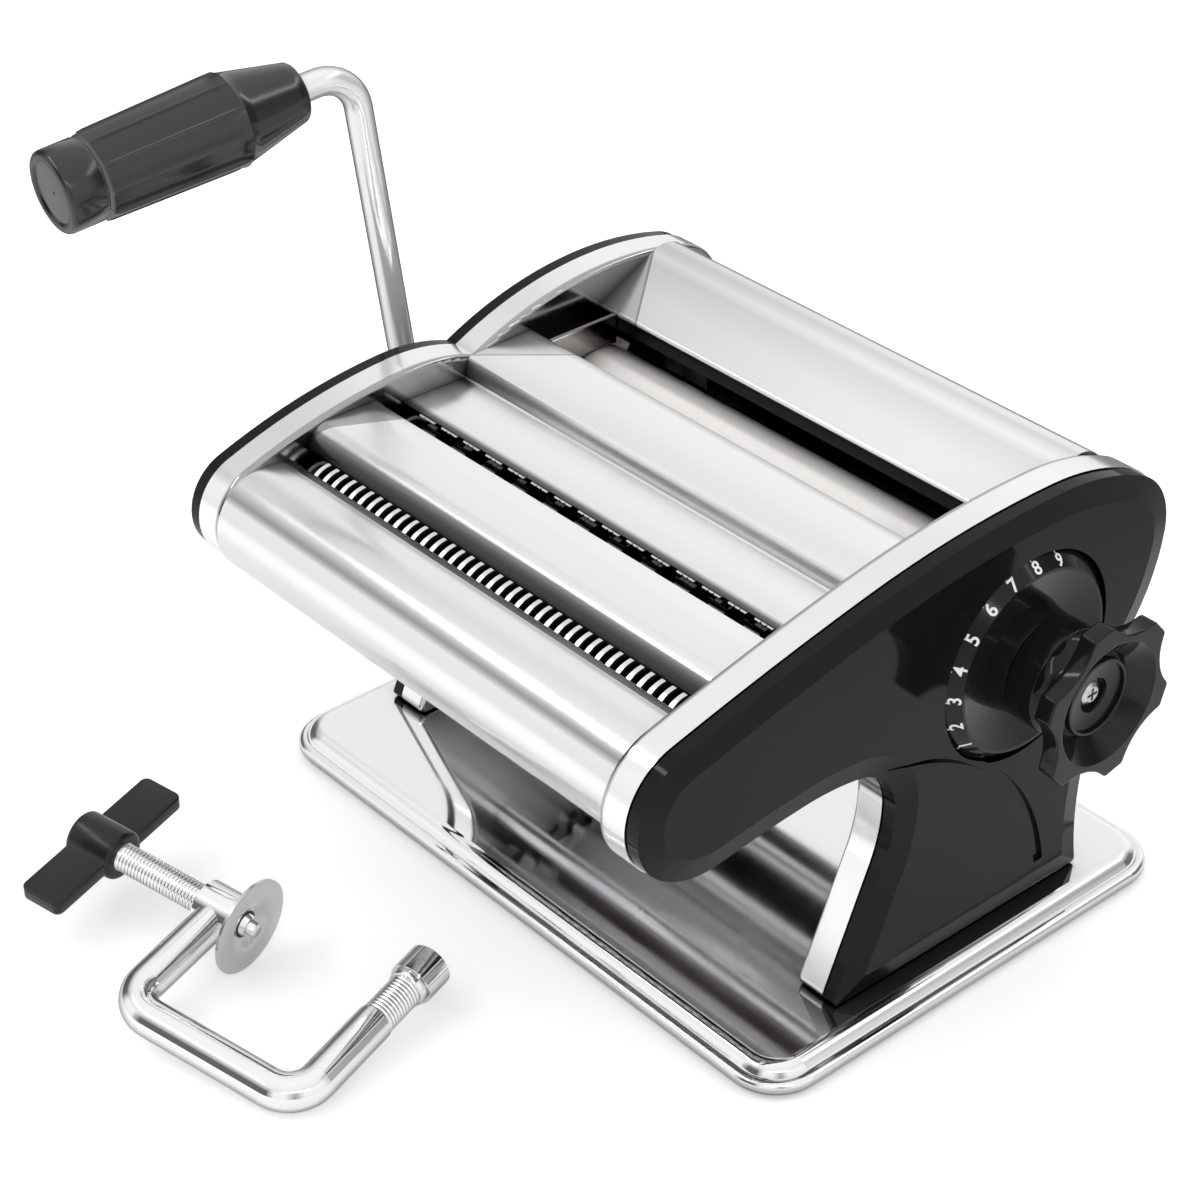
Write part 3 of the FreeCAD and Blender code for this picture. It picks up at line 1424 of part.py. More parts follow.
def make_clamp_screw():
    arm = float(S.clamp_arm)
    start = -(float(S.clamp_boss_length) / 2 + float(S.wing_gap) + float(S.wing_hub_length) - 2)
    end = float(S.pad_offset) - 0.6
    screw = Part.makeCylinder(float(S.thread_radius), end - start, Vector(start, arm, 0), X_AXIS)
    tip = Part.makeCylinder(float(S.tip_radius), 5.6, Vector(end, arm, 0), X_AXIS)
    return clamped(screw.fuse(tip).removeSplitter())


def make_clamp_wing():
    """A hub with two flat wings."""
    arm, thick = float(S.clamp_arm), float(S.wing_thick)
    end = -(float(S.clamp_boss_length) / 2 + float(S.wing_gap))
    length = float(S.wing_hub_length)
    hub = Part.makeCylinder(float(S.wing_hub_radius), length, Vector(end - length, arm, 0), X_AXIS)
    hub = hub.makeFillet(1.2, hub.Edges[:1] + hub.Edges[2:])
    span, height = float(S.wing_span), float(S.wing_height)
    start = end - length / 2 - height / 2
    wings = Part.makeBox(height, 2 * span, thick, Vector(start, arm - span, -thick / 2))
    upright = [edge for edge in wings.Edges if abs(edge.tangentAt(0).z) > 0.9]
    wings = wings.makeFillet(1.8, upright)
    shank = Part.makeCylinder(float(S.thread_radius), length, Vector(end - length + 2, arm, 0),
                              X_AXIS)
    return clamped(hub.fuse(wings).removeSplitter().cut(shank))


def make_clamp_pad():
    """A dished pressure plate that turns on the screw's tip."""
    start, sheet_thick, dish = float(S.pad_offset), float(S.pad_sheet), float(S.pad_dish)
    bore, radius = float(S.tip_radius) + float(S.running_fit), float(S.pad_radius)
    stations = [(0.0, bore), (0.0, 4.5), (dish, 8.0), (dish, radius), (dish + sheet_thick, radius),
                (dish + sheet_thick, 7.6), (sheet_thick, 4.0), (sheet_thick, bore)]
    stations = [(start + along, radius) for along, radius in stations]
    return clamped(turned_shape(stations, float(S.clamp_arm)))


def make_clamp_rivet():
    """The ring that is staked over the tip and holds the pad."""
    start = float(S.pad_offset) + float(S.pad_sheet) + 0.2
    stations = [(0.0, float(S.tip_radius)), (0.0, 3.2), (1.6, 2.8), (1.6, float(S.tip_radius))]
    stations = [(start + along, radius) for along, radius in stations]
    return clamped(turned_shape(stations, float(S.clamp_arm)))


keep(formed("ClampRod", make_clamp_rod()), "clamp_rod")
keep(formed("ClampScrew", make_clamp_screw()), "clamp_screw")
keep(formed("ClampWing", make_clamp_wing()), "clamp_wing_nut")
keep(formed("ClampPad", make_clamp_pad()), "clamp_pad")
keep(formed("ClampRivet", make_clamp_rivet()), "clamp_pad_ring")


# --- check and write ---------------------------------------------------------------------

doc.recompute()
for item in doc.Objects:
    if "Invalid" in item.State or "Error" in item.State:
        raise RuntimeError("%s did not build: %s" % (item.Label, item.State))

os.makedirs("parts", exist_ok=True)
for part in PARTS:
    if part.Shape.isNull() or not part.Shape.isValid():
        raise RuntimeError("%s has no valid shape" % part.Label)
    part.Shape.exportStep("parts/%s.step" % part.Label)
print("wrote %d sub-parts" % len(PARTS))
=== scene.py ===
# %% [markdown]
# # A hand cranked pasta machine
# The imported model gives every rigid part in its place, in metres. This lesson dresses it:
# polished steel, glossy black covers, a numbered dial, a ribbed grip and a loose clamp.
# The frame is loaded first, because every piece is placed from it.

# %% Load the frame
import json
import math

import bmesh
import bpy
import numpy as np
from mathutils import Matrix, Vector


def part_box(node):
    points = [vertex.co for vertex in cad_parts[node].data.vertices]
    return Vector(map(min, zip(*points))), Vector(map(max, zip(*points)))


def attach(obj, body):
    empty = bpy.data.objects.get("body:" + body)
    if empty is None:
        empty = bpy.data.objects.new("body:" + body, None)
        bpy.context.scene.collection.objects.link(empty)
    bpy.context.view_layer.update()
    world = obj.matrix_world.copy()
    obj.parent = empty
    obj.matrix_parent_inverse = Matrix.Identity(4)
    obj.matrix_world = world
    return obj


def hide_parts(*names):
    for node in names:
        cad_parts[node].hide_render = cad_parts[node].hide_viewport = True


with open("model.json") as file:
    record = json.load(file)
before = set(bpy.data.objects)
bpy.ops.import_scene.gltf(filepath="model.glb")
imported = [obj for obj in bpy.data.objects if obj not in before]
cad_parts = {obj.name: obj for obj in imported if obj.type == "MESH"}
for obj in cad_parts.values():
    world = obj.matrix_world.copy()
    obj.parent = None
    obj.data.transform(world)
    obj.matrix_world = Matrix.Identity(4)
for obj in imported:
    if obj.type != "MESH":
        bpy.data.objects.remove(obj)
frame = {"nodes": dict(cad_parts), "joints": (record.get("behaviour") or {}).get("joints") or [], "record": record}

MM = 0.001
NODES = frame["nodes"]
JOINTS = {joint["name"]: joint for joint in frame["joints"]}
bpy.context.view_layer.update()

# %% [markdown]
# ## The camera
# A catalogue view from the front right and above. The lens is long, so that the edges of
# the machine stay nearly parallel. The camera looks at a point inside the machine.

# %% Camera
AZIMUTH, ELEVATION = math.radians(48.88), math.radians(33.52)
LOOK_AT = Vector((-30.37, -14.69, 60.0)) * MM
DISTANCE = 808.41 * MM
SENSOR = 36.0
IMAGE_WIDTH, FOCAL_IN_PIXELS = 1200.0, 2951.09
camera_data = bpy.data.cameras.new("catalogue_camera")
camera_data.sensor_width = SENSOR
camera_data.lens = SENSOR * FOCAL_IN_PIXELS / IMAGE_WIDTH
camera = bpy.data.objects.new("catalogue_camera", camera_data)
towards_camera = Vector((math.sin(AZIMUTH) * math.cos(ELEVATION),
                         -math.cos(AZIMUTH) * math.cos(ELEVATION), math.sin(ELEVATION)))
camera.location = LOOK_AT + towards_camera * DISTANCE
camera.rotation_mode = "QUATERNION"
camera.rotation_quaternion = (-towards_camera).to_track_quat("-Z", "Y")
camera_data.clip_start, camera_data.clip_end = 0.01, 50.0
bpy.context.scene.collection.objects.link(camera)
bpy.context.scene.camera = camera
print("lens in mm:", round(camera_data.lens, 1))

# %% [markdown]
# ## Helpers for nodes
# Every world, finish and effect is a handful of nodes. One helper adds a node with its
# options and input values, one joins outputs to inputs, and two small sets come up often:
# a ramp of greys, and the compass direction of a point.

# %% Node helpers
def new_node(nodes, kind, values=(), **options):
    """Adds a node; values go to its inputs by name or number, options to the node itself."""
    node = nodes.new(kind)
    for option, value in options.items():
        setattr(node, option, value)
    for entry, value in dict(values).items():
        node.inputs[entry].default_value = value
    return node


def join(links, *pairs):
    """Links the first socket of each pair to the second."""
    for output, entry in pairs:
        links.new(output, entry)


def grey_ramp(nodes, stops):
    """A colour ramp over (position, grey) stops."""
    ramp = nodes.new("ShaderNodeValToRGB")
    ramp.color_ramp.elements[0].position = stops[0][0]
    ramp.color_ramp.elements[1].position = stops[-1][0]
    for position, _ in stops[1:-1]:
        ramp.color_ramp.elements.new(position)
    for element, (_, grey) in zip(ramp.color_ramp.elements, stops):
        element.color = (grey, grey, grey, 1.0)
    return ramp


def compass(nodes, links, position):
    """The direction of a position round Z, from 0 to 1, and its height."""
    split = nodes.new("ShaderNodeSeparateXYZ")
    turn = new_node(nodes, "ShaderNodeMath", operation="ARCTAN2")
    around = new_node(nodes, "ShaderNodeMapRange", {"From Min": -math.pi, "From Max": math.pi})
    join(links, (position, split.inputs[0]), (split.outputs["Y"], turn.inputs[0]),
         (split.outputs["X"], turn.inputs[1]), (turn.outputs[0], around.inputs["Value"]))
    return around.outputs["Result"], split.outputs["Z"]


WHITE = (1, 1, 1, 1)
print("node helpers:", [helper.__name__ for helper in (new_node, join, grey_ramp, compass)])

# %% [markdown]
# ## The studio
# Polished steel shows what stands round it, so the studio is part of the finish. To the eye
# the world is white. Mirrors see a bright room with some dark flags near the horizon, which
# draw the dark streaks on round metal. Diffuse light gets a plain white world.

# %% World
HORIZON_TO_ZENITH = ((0.0, 0.95), (0.46, 0.90), (0.62, 0.96), (0.74, 1.0), (0.84, 0.86),
                     (0.93, 0.95), (1.0, 1.0))
ROUND_THE_ROOM = ((0.0, 0.12), (0.055, 0.15), (0.09, 0.95), (0.165, 1.0), (0.20, 0.14),
                  (0.27, 0.12), (0.31, 1.0), (0.37, 1.0), (0.42, 0.40), (0.47, 1.0),
                  (0.58, 1.0), (0.64, 0.15), (0.71, 0.20), (0.76, 1.0), (0.86, 1.0),
                  (0.92, 0.9), (0.96, 0.2), (1.0, 0.12))
FLAGS_FADE_FROM, FLAGS_FADE_TO = 0.45, 0.75


def new_world():
    """The studio's world; it returns the number of its nodes."""
    world = bpy.data.worlds.new("studio")
    world.use_nodes = True
    nodes, links = world.node_tree.nodes, world.node_tree.links
    nodes.clear()
    path = nodes.new("ShaderNodeLightPath")
    direction = nodes.new("ShaderNodeTexCoord")
    around, upwards = compass(nodes, links, direction.outputs["Generated"])
    height = new_node(nodes, "ShaderNodeMapRange", {"From Min": -1.0})
    low_only = new_node(nodes, "ShaderNodeMapRange", {
        "From Min": FLAGS_FADE_FROM, "From Max": FLAGS_FADE_TO, "To Min": 1.0, "To Max": 0.0})
    rise, walls = grey_ramp(nodes, HORIZON_TO_ZENITH), grey_ramp(nodes, ROUND_THE_ROOM)
    room = new_node(nodes, "ShaderNodeMix", data_type="RGBA", blend_type="MULTIPLY")
    mirror, seen, plain = [new_node(nodes, "ShaderNodeBackground", {"Color": WHITE})
                           for _ in range(3)]
    mix_mirror, mix_seen = [nodes.new("ShaderNodeMixShader") for _ in range(2)]
    out = nodes.new("ShaderNodeOutputWorld")
    join(links, (upwards, height.inputs["Value"]), (upwards, low_only.inputs["Value"]),
         (height.outputs["Result"], rise.inputs["Fac"]), (around, walls.inputs["Fac"]),
         (low_only.outputs["Result"], room.inputs["Factor"]),
         (rise.outputs["Color"], room.inputs["A"]), (walls.outputs["Color"], room.inputs["B"]),
         (room.outputs["Result"], mirror.inputs["Color"]),
         (path.outputs["Is Glossy Ray"], mix_mirror.inputs["Fac"]),
         (plain.outputs[0], mix_mirror.inputs[1]), (mirror.outputs[0], mix_mirror.inputs[2]),
         (path.outputs["Is Camera Ray"], mix_seen.inputs["Fac"]),
         (mix_mirror.outputs[0], mix_seen.inputs[1]), (seen.outputs[0], mix_seen.inputs[2]),
         (mix_seen.outputs[0], out.inputs["Surface"]))
    bpy.context.scene.world = world
    return len(nodes)


print("world nodes:", new_world())
bpy.context.scene.view_settings.view_transform = "Standard"

# %% [markdown]
# The lamps are area lights, long and narrow, so that their images in metal and in black
# plastic are fine lines.

# %% Lamps
def softbox(name, place, look_at, size, watts):
    """An area lamp that faces a point."""
    data = bpy.data.lights.new(name, "AREA")
    data.shape = "RECTANGLE"
    data.size, data.size_y = size
    data.energy = watts
    lamp = bpy.data.objects.new(name, data)
    lamp.location = place
    lamp.rotation_mode = "QUATERNION"
    lamp.rotation_quaternion = (Vector(look_at) - Vector(place)).to_track_quat("-Z", "Y")
    bpy.context.scene.collection.objects.link(lamp)
    return lamp


lamps = [softbox("key_softbox", (-0.7, -0.9, 1.5), (0, 0, 0.05), (1.3, 0.14), 4.0),
         softbox("rear_softbox", (0.5, 1.2, 1.3), (0, 0, 0.05), (1.4, 0.14), 2.5),
         softbox("fill_softbox", (1.3, -0.8, 1.2), (0, 0, 0.0), (1.6, 0.14), 3.0)]
print("lamps in watts:", [lamp.data.energy for lamp in lamps])

# %% [markdown]
# The floor is a plain pale disc that keeps the machine's shadow. To mirrors alone, its colour
# beyond the base's edge is painted darker in some directions, so that the metal shows painted
# dark reflections.

# %% Floor
FLOOR_MIRROR_DARKS = ((0.0, 0.20), (0.05, 0.30), (0.09, 0.95), (0.22, 1.0), (0.33, 0.85),
                 (0.40, 0.65), (0.45, 0.95), (0.50, 0.80), (0.57, 0.62), (0.65, 0.60),
                 (0.70, 0.25), (0.95, 0.16), (1.0, 0.20))
SECTORS_FROM, SECTORS_TO = 0.17, 0.30
FLOOR_LIFT, FLOOR_RADIUS, FLOOR_DROP = 0.26, 6.0, 0.2 * MM


def floor_paint():
    """White to the eye; to mirror rays its colour is painted darker in some directions."""
    paint = bpy.data.materials.new("floor_paint")
    paint.use_nodes = True
    nodes, links = paint.node_tree.nodes, paint.node_tree.links
    shader = nodes["Principled BSDF"]
    for entry, value in (("Roughness", 0.9), ("Specular IOR Level", 0.1),
                         ("Emission Color", WHITE)):
        shader.inputs[entry].default_value = value
    place = nodes.new("ShaderNodeTexCoord").outputs["Object"]
    around, _ = compass(nodes, links, place)
    reach = new_node(nodes, "ShaderNodeVectorMath", operation="LENGTH")
    far = new_node(nodes, "ShaderNodeMapRange", {"From Min": SECTORS_FROM,
                                                 "From Max": SECTORS_TO})
    sectors = grey_ramp(nodes, FLOOR_MIRROR_DARKS)
    path = nodes.new("ShaderNodeLightPath")
    amount = new_node(nodes, "ShaderNodeMath", operation="MULTIPLY")
    blend = new_node(nodes, "ShaderNodeMix", {"A": (0.95, 0.95, 0.95, 1)}, data_type="RGBA")
    lift = new_node(nodes, "ShaderNodeMath", {1: FLOOR_LIFT}, operation="MULTIPLY")
    join(links, (around, sectors.inputs["Fac"]), (place, reach.inputs[0]),
         (reach.outputs["Value"], far.inputs["Value"]),
         (path.outputs["Is Glossy Ray"], amount.inputs[0]),
         (far.outputs["Result"], amount.inputs[1]), (amount.outputs[0], blend.inputs["Factor"]),
         (sectors.outputs["Color"], blend.inputs["B"]),
         (blend.outputs["Result"], shader.inputs["Base Color"]),
         (path.outputs["Is Camera Ray"], lift.inputs[0]),
         (lift.outputs[0], shader.inputs["Emission Strength"]))
    return paint


def studio_floor():
    """A wide disc just under the machine, attached to no body."""
    mesh = bpy.data.meshes.new("studio_floor")
    form = bmesh.new()
    bmesh.ops.create_circle(form, cap_ends=True, segments=96, radius=FLOOR_RADIUS)
    form.to_mesh(mesh)
    form.free()
    floor = bpy.data.objects.new("studio_floor", mesh)
    bpy.context.scene.collection.objects.link(floor)
    floor.location.z = -FLOOR_DROP
    mesh.materials.append(floor_paint())
    return floor


print("floor radius in m:", studio_floor().dimensions.x / 2)

# %% [markdown]
# ## Effects that several finishes share
# Each effect is a node group: it takes a position and a few sizes, and puts out one mask
# or height. `smudge` varies the gloss as handling does, `turned_lines` are the fine rings
# that a lathe leaves, `grain` is the skin of moulded plastic and `waves` is the faint
# waviness of pressed sheet.

# %% Node groups for gloss and relief
def new_group(name, inputs, output):
    """An empty group with a Vector input, number inputs and one number output."""
    group = bpy.data.node_groups.new(name, "ShaderNodeTree")
    group.interface.new_socket("Vector", in_out="INPUT", socket_type="NodeSocketVector")
    for title, value in inputs:
        item = group.interface.new_socket(title, in_out="INPUT", socket_type="NodeSocketFloat")
        item.default_value = value
    group.interface.new_socket(output, in_out="OUTPUT", socket_type="NodeSocketFloat")
    return group, group.nodes.new("NodeGroupInput"), group.nodes.new("NodeGroupOutput")


def smudge_group():
    """Soft patches between a low and a high value."""
    group, enter, leave = new_group("smudge", (("Scale", 20.0), ("Low", 0.05), ("High", 0.1)),
                                    "Value")
    noise = new_node(group.nodes, "ShaderNodeTexNoise", {"Detail": 3.0})
    spread = new_node(group.nodes, "ShaderNodeMapRange", {"From Min": 0.35, "From Max": 0.65})
    join(group.links, (enter.outputs["Vector"], noise.inputs["Vector"]),
         (enter.outputs["Scale"], noise.inputs["Scale"]),
         (noise.outputs["Fac"], spread.inputs["Value"]),
         (enter.outputs["Low"], spread.inputs["To Min"]),
         (enter.outputs["High"], spread.inputs["To Max"]),
         (spread.outputs["Result"], leave.inputs["Value"]))
    return group


def stretched_noise_group(name, stretch, detail):
    """Noise that is squeezed by different amounts along the three axes."""
    group, enter, leave = new_group(name, (("Scale", 100.0),), "Height")
    squeeze = new_node(group.nodes, "ShaderNodeVectorMath", {1: stretch}, operation="MULTIPLY")
    noise = new_node(group.nodes, "ShaderNodeTexNoise", {"Detail": detail})
    join(group.links, (enter.outputs["Vector"], squeeze.inputs[0]),
         (squeeze.outputs[0], noise.inputs["Vector"]),
         (enter.outputs["Scale"], noise.inputs["Scale"]),
         (noise.outputs["Fac"], leave.inputs["Height"]))
    return group


EFFECTS = {"smudge": smudge_group()}
for effect, stretch, detail in (("turned_lines", (1.0, 0.02, 0.02), 2.0),
                                ("long_lines", (0.02, 1.0, 1.0), 2.0),
                                ("grain", (1.0, 1.0, 1.0), 4.0),
                                ("waves", (0.5, 1.0, 1.0), 1.0)):
    EFFECTS[effect] = stretched_noise_group(effect, stretch, detail)
print("effects:", sorted(EFFECTS))

# %% [markdown]
# ## Painted bands of light and dark across a part
# Bent sheet shows bands of light and dark that follow its folds. Here they are painted into the colour, as painted
# reflections, painted highlights and painted shade. A band group takes the position on the part and gives a
# painted brightness: along a direction, or by the distance from a cutter's axis. Another group paints highlights
# on the rims of evenly spaced rings and painted shade on their walls and in the gaps.

# %% Node groups for painted bands
GAP_SHADE_GREY = 0.01


def painted_band_group(name, axis, stops, middle=(0.0, 0.0)):
    """Painted grey bands across a part: along a direction, or by the distance from a line along X."""
    group, enter, leave = new_group(name, (), "Value")
    nodes, links = group.nodes, group.links
    first, last = stops[0][0], stops[-1][0]
    span = new_node(nodes, "ShaderNodeMapRange", {"From Min": first * MM, "From Max": last * MM})
    ramp = grey_ramp(nodes, [((at - first) / (last - first), grey) for at, grey in stops])
    if axis == "R":
        shift = new_node(nodes, "ShaderNodeVectorMath",
                         {1: (0.0, middle[0] * MM, middle[1] * MM)}, operation="SUBTRACT")
        flat = new_node(nodes, "ShaderNodeVectorMath", {1: (0.0, 1.0, 1.0)},
                        operation="MULTIPLY")
        measure = new_node(nodes, "ShaderNodeVectorMath", operation="LENGTH")
        join(links, (enter.outputs["Vector"], shift.inputs[0]),
             (shift.outputs[0], flat.inputs[0]), (flat.outputs[0], measure.inputs[0]))
    else:
        measure = new_node(nodes, "ShaderNodeVectorMath", {1: axis}, operation="DOT_PRODUCT")
        links.new(enter.outputs["Vector"], measure.inputs[0])
    join(links, (measure.outputs["Value"], span.inputs["Value"]),
         (span.outputs["Result"], ramp.inputs["Fac"]),
         (ramp.outputs["Color"], leave.inputs["Value"]))
    return group


def painted_ring_tops_group(name, start, pitch, share):
    """Painted highlight on the rims of rings that repeat along X; painted shade on their walls and in the gaps."""
    group, enter, leave = new_group(name, (), "Value")
    nodes, links = group.nodes, group.links
    parts = nodes.new("ShaderNodeSeparateXYZ")
    shift = new_node(nodes, "ShaderNodeMath", {1: start * MM}, operation="SUBTRACT")
    count = new_node(nodes, "ShaderNodeMath", {1: pitch * MM}, operation="DIVIDE")
    step = new_node(nodes, "ShaderNodeMath", operation="FRACT")
    ramp = grey_ramp(nodes, [(0.0, GAP_SHADE_GREY), (0.02, GAP_SHADE_GREY), (0.04, 1.0), (share - 0.03, 1.0),
                             (share - 0.01, GAP_SHADE_GREY), (1.0, GAP_SHADE_GREY)])
    join(links, (enter.outputs["Vector"], parts.inputs[0]), (parts.outputs["X"], shift.inputs[0]),
         (shift.outputs[0], count.inputs[0]), (count.outputs[0], step.inputs[0]),
         (step.outputs[0], ramp.inputs["Fac"]), (ramp.outputs["Color"], leave.inputs["Value"]))
    return group


THIN_START, THIN_PITCH, THIN_SHARE = -73.0275, 3.745, 0.42
PAINTED_BANDS = {"thin_tops": painted_ring_tops_group("thin_tops", THIN_START, THIN_PITCH, THIN_SHARE)}
print("ring pitch in mm:", THIN_PITCH)

# %% [markdown]
# The stops of each band are (place in mm, painted brightness). The places come from the sections of
# the sheets: the round nose of the hood, the bridge between the two cutter slots, the step
# of the deck, the slope of the rear cover, and the upright webs of the side frames. The bands paint
# dark reflection streaks and highlight lines along the folds, painted shade next to the slots, under
# the rear lip and over the frames' bends, darker left ends, a painted highlight on the guides' top
# edge, and painted highlights on the cutters' ring rims with painted shade below them.

# %% The bands of this machine
GUIDE_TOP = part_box("left_dough_guide")[1].z / MM
THIN_AXIS, WIDE_AXIS = (-72.6, 99.6), (-41.4, 101.6)
X, Y, Z = (1.0, 0.0, 0.0), (0.0, 1.0, 0.0), (0.0, 0.0, 1.0)
for title, axis, stops, *middle in (
        ("hood_round", Z, (
            (80.0, 0.88), (96.5, 0.86), (99.0, 1.0), (105.2, 1.0), (106.0, 0.60),
            (106.7, 0.38), (107.3, 0.52), (108.2, 0.86), (108.9, 1.0), (112.0, 1.0))),
        ("hood_lip", Y, (
            (-95.0, 0.97), (-86.0, 0.94), (-84.6, 0.58), (-83.2, 0.85), (-81.8, 1.0))),
        ("bridge_round", Z, (
            (106.0, 0.04), (112.4, 0.06), (113.6, 0.07), (114.6, 0.13), (115.5, 0.30),
            (116.2, 1.0), (118.0, 1.0))),
        ("bridge_fold", (1.0, -0.53, 0.0), (
            (-70.0, 0.34), (-40.0, 0.46), (-36.4, 0.50), (-36.1, 1.0), (0.0, 1.0))),
        ("deck_step", Y, (
            (-44.5, 0.05), (-42.6, 0.20), (-40.8, 1.0), (-25.5, 1.0), (-23.6, 0.88),
            (-22.3, 1.0), (-21.6, 1.0), (-1.5, 1.0), (0.4, 0.70), (1.6, 0.30))),
        ("deck_fold", (1.0, -0.93, 0.0), (
            (-90.0, 0.66), (-59.6, 0.80), (-59.3, 0.42), (-58.9, 0.42), (-58.6, 1.0),
            (0.0, 1.0))),
        ("rear_slope", Y, (
            (26.5, 0.9), (28.0, 0.96), (35.0, 0.96), (39.0, 0.90), (43.5, 0.84), (45.0, 0.95),
            (46.0, 1.0), (48.0, 0.90), (50.0, 0.80), (54.0, 0.95), (57.0, 1.0), (80.0, 1.0))),
        ("rear_lip_height", Z, ((90.0, 0.01), (117.1, 0.01), (117.5, 1.0), (140.0, 1.0))),
        ("rear_lip_depth", Y, ((20.0, 0.0), (28.4, 0.0), (28.8, 1.0), (40.0, 1.0))),
        ("rear_length", X, (
            (-78.0, 0.80), (-40.0, 0.88), (0.0, 0.96), (40.0, 1.0), (78.0, 1.0))),
        ("rear_fold", (1.0, 0.75, 0.0), (
            (-70.0, 0.50), (-43.2, 0.74), (-42.9, 0.40), (-42.4, 0.40), (-42.1, 1.0),
            (0.0, 1.0))),
        ("frame_inside", X, (
            (-90.0, 1.0), (-79.2, 1.0), (-78.7, 0.40), (-77.0, 0.48), (77.0, 0.48),
            (78.7, 0.40), (79.2, 1.0), (90.0, 1.0))),
        ("frame_low", Z, ((0.0, 1.0), (84.0, 1.0), (94.0, 0.0), (140.0, 0.0))),
        ("guide_edge", Z, (
            (100.0, 0.20), (114.0, 0.34), (GUIDE_TOP - 0.5, 0.42), (GUIDE_TOP - 0.3, 1.0),
            (GUIDE_TOP + 1.0, 1.0))),
        ("thin_rings", "R", ((5.0, 0.01), (6.6, 0.02), (7.0, 1.0), (8.0, 1.0)), THIN_AXIS),
        ("wide_rings", "R", ((5.0, 0.02), (6.9, 0.05), (7.4, 1.0), (8.0, 1.0)), WIDE_AXIS)):
    PAINTED_BANDS[title] = painted_band_group(title, axis, stops, *middle)
print("bands:", sorted(PAINTED_BANDS))

# %% [markdown]
# ## The finishes
# One function makes every finish: a Principled shader whose constants sit on its own
# sockets, with the smudge group on its roughness and one relief group behind a bump.
# Three painted shades can deepen the colour: the painted bands, a painted darker rim that stands
# in for the dark reflections at the edges of round chrome, and painted shade in corners and slots.
# A finish can also glow as painted light, though no part is a lamp.

# %% Painted shades
RIM_FROM, RIM_TO = 0.36, 0.80
RECESS_SHADE_FROM, RECESS_SHADE_TO, RECESS_SHADE_DARKEST, RECESS_SHADE_RAYS = 0.30, 0.75, 0.05, 6


def times(nodes, links, first, second):
    """The product of two sockets; a first one that is None stands for one."""
    if first is None:
        return second
    product = new_node(nodes, "ShaderNodeMath", operation="MULTIPLY")
    join(links, (first, product.inputs[0]), (second, product.inputs[1]))
    return product.outputs[0]


def painted_band_product(nodes, links, position, titles):
    """The product of painted band groups; in a title with a bar the lighter of two bands counts."""
    shade = None
    for title in titles:
        values = []
        for name in title.split("|"):
            band = new_node(nodes, "ShaderNodeGroup", node_tree=PAINTED_BANDS[name])
            links.new(position, band.inputs["Vector"])
            values.append(band.outputs["Value"])
        if len(values) == 2:
            larger = new_node(nodes, "ShaderNodeMath", operation="MAXIMUM")
            join(links, *zip(values, larger.inputs))
            values = [larger.outputs[0]]
        shade = times(nodes, links, shade, values[0])
    return shade


def painted_rim_shade(nodes, links, darkest):
    """A painted darker rim where the surface turns away, down to the darkest value, for the dark reflections at
    the edges of round chrome.
    """
    edge = nodes.new("ShaderNodeLayerWeight")
    darker = new_node(nodes, "ShaderNodeMapRange", {
        "From Min": RIM_FROM, "From Max": RIM_TO, "To Min": 1.0, "To Max": darkest})
    links.new(edge.outputs["Facing"], darker.inputs["Value"])
    return darker.outputs["Result"]


def painted_recess_shade(nodes, links, reach):
    """Painted shade in slots and corners that are closer together than the reach, in mm."""
    occlusion = new_node(nodes, "ShaderNodeAmbientOcclusion", {"Distance": reach * MM},
                       samples=RECESS_SHADE_RAYS)
    painted_shade = new_node(nodes, "ShaderNodeMapRange", {
        "From Min": RECESS_SHADE_FROM, "From Max": RECESS_SHADE_TO, "To Min": RECESS_SHADE_DARKEST})
    links.new(occlusion.outputs["AO"], painted_shade.inputs["Value"])
    return painted_shade.outputs["Result"]


print("shades:", [shade.__name__ for shade in (painted_band_product, painted_rim_shade, painted_recess_shade)])

# %% [markdown]
# A finish is one row of numbers: its colour, how metallic it is, its lowest and highest
# roughness, its relief with scale and depth in mm, and then what is special about it.

# %% One finish
PATCH_SCALE = 25.0


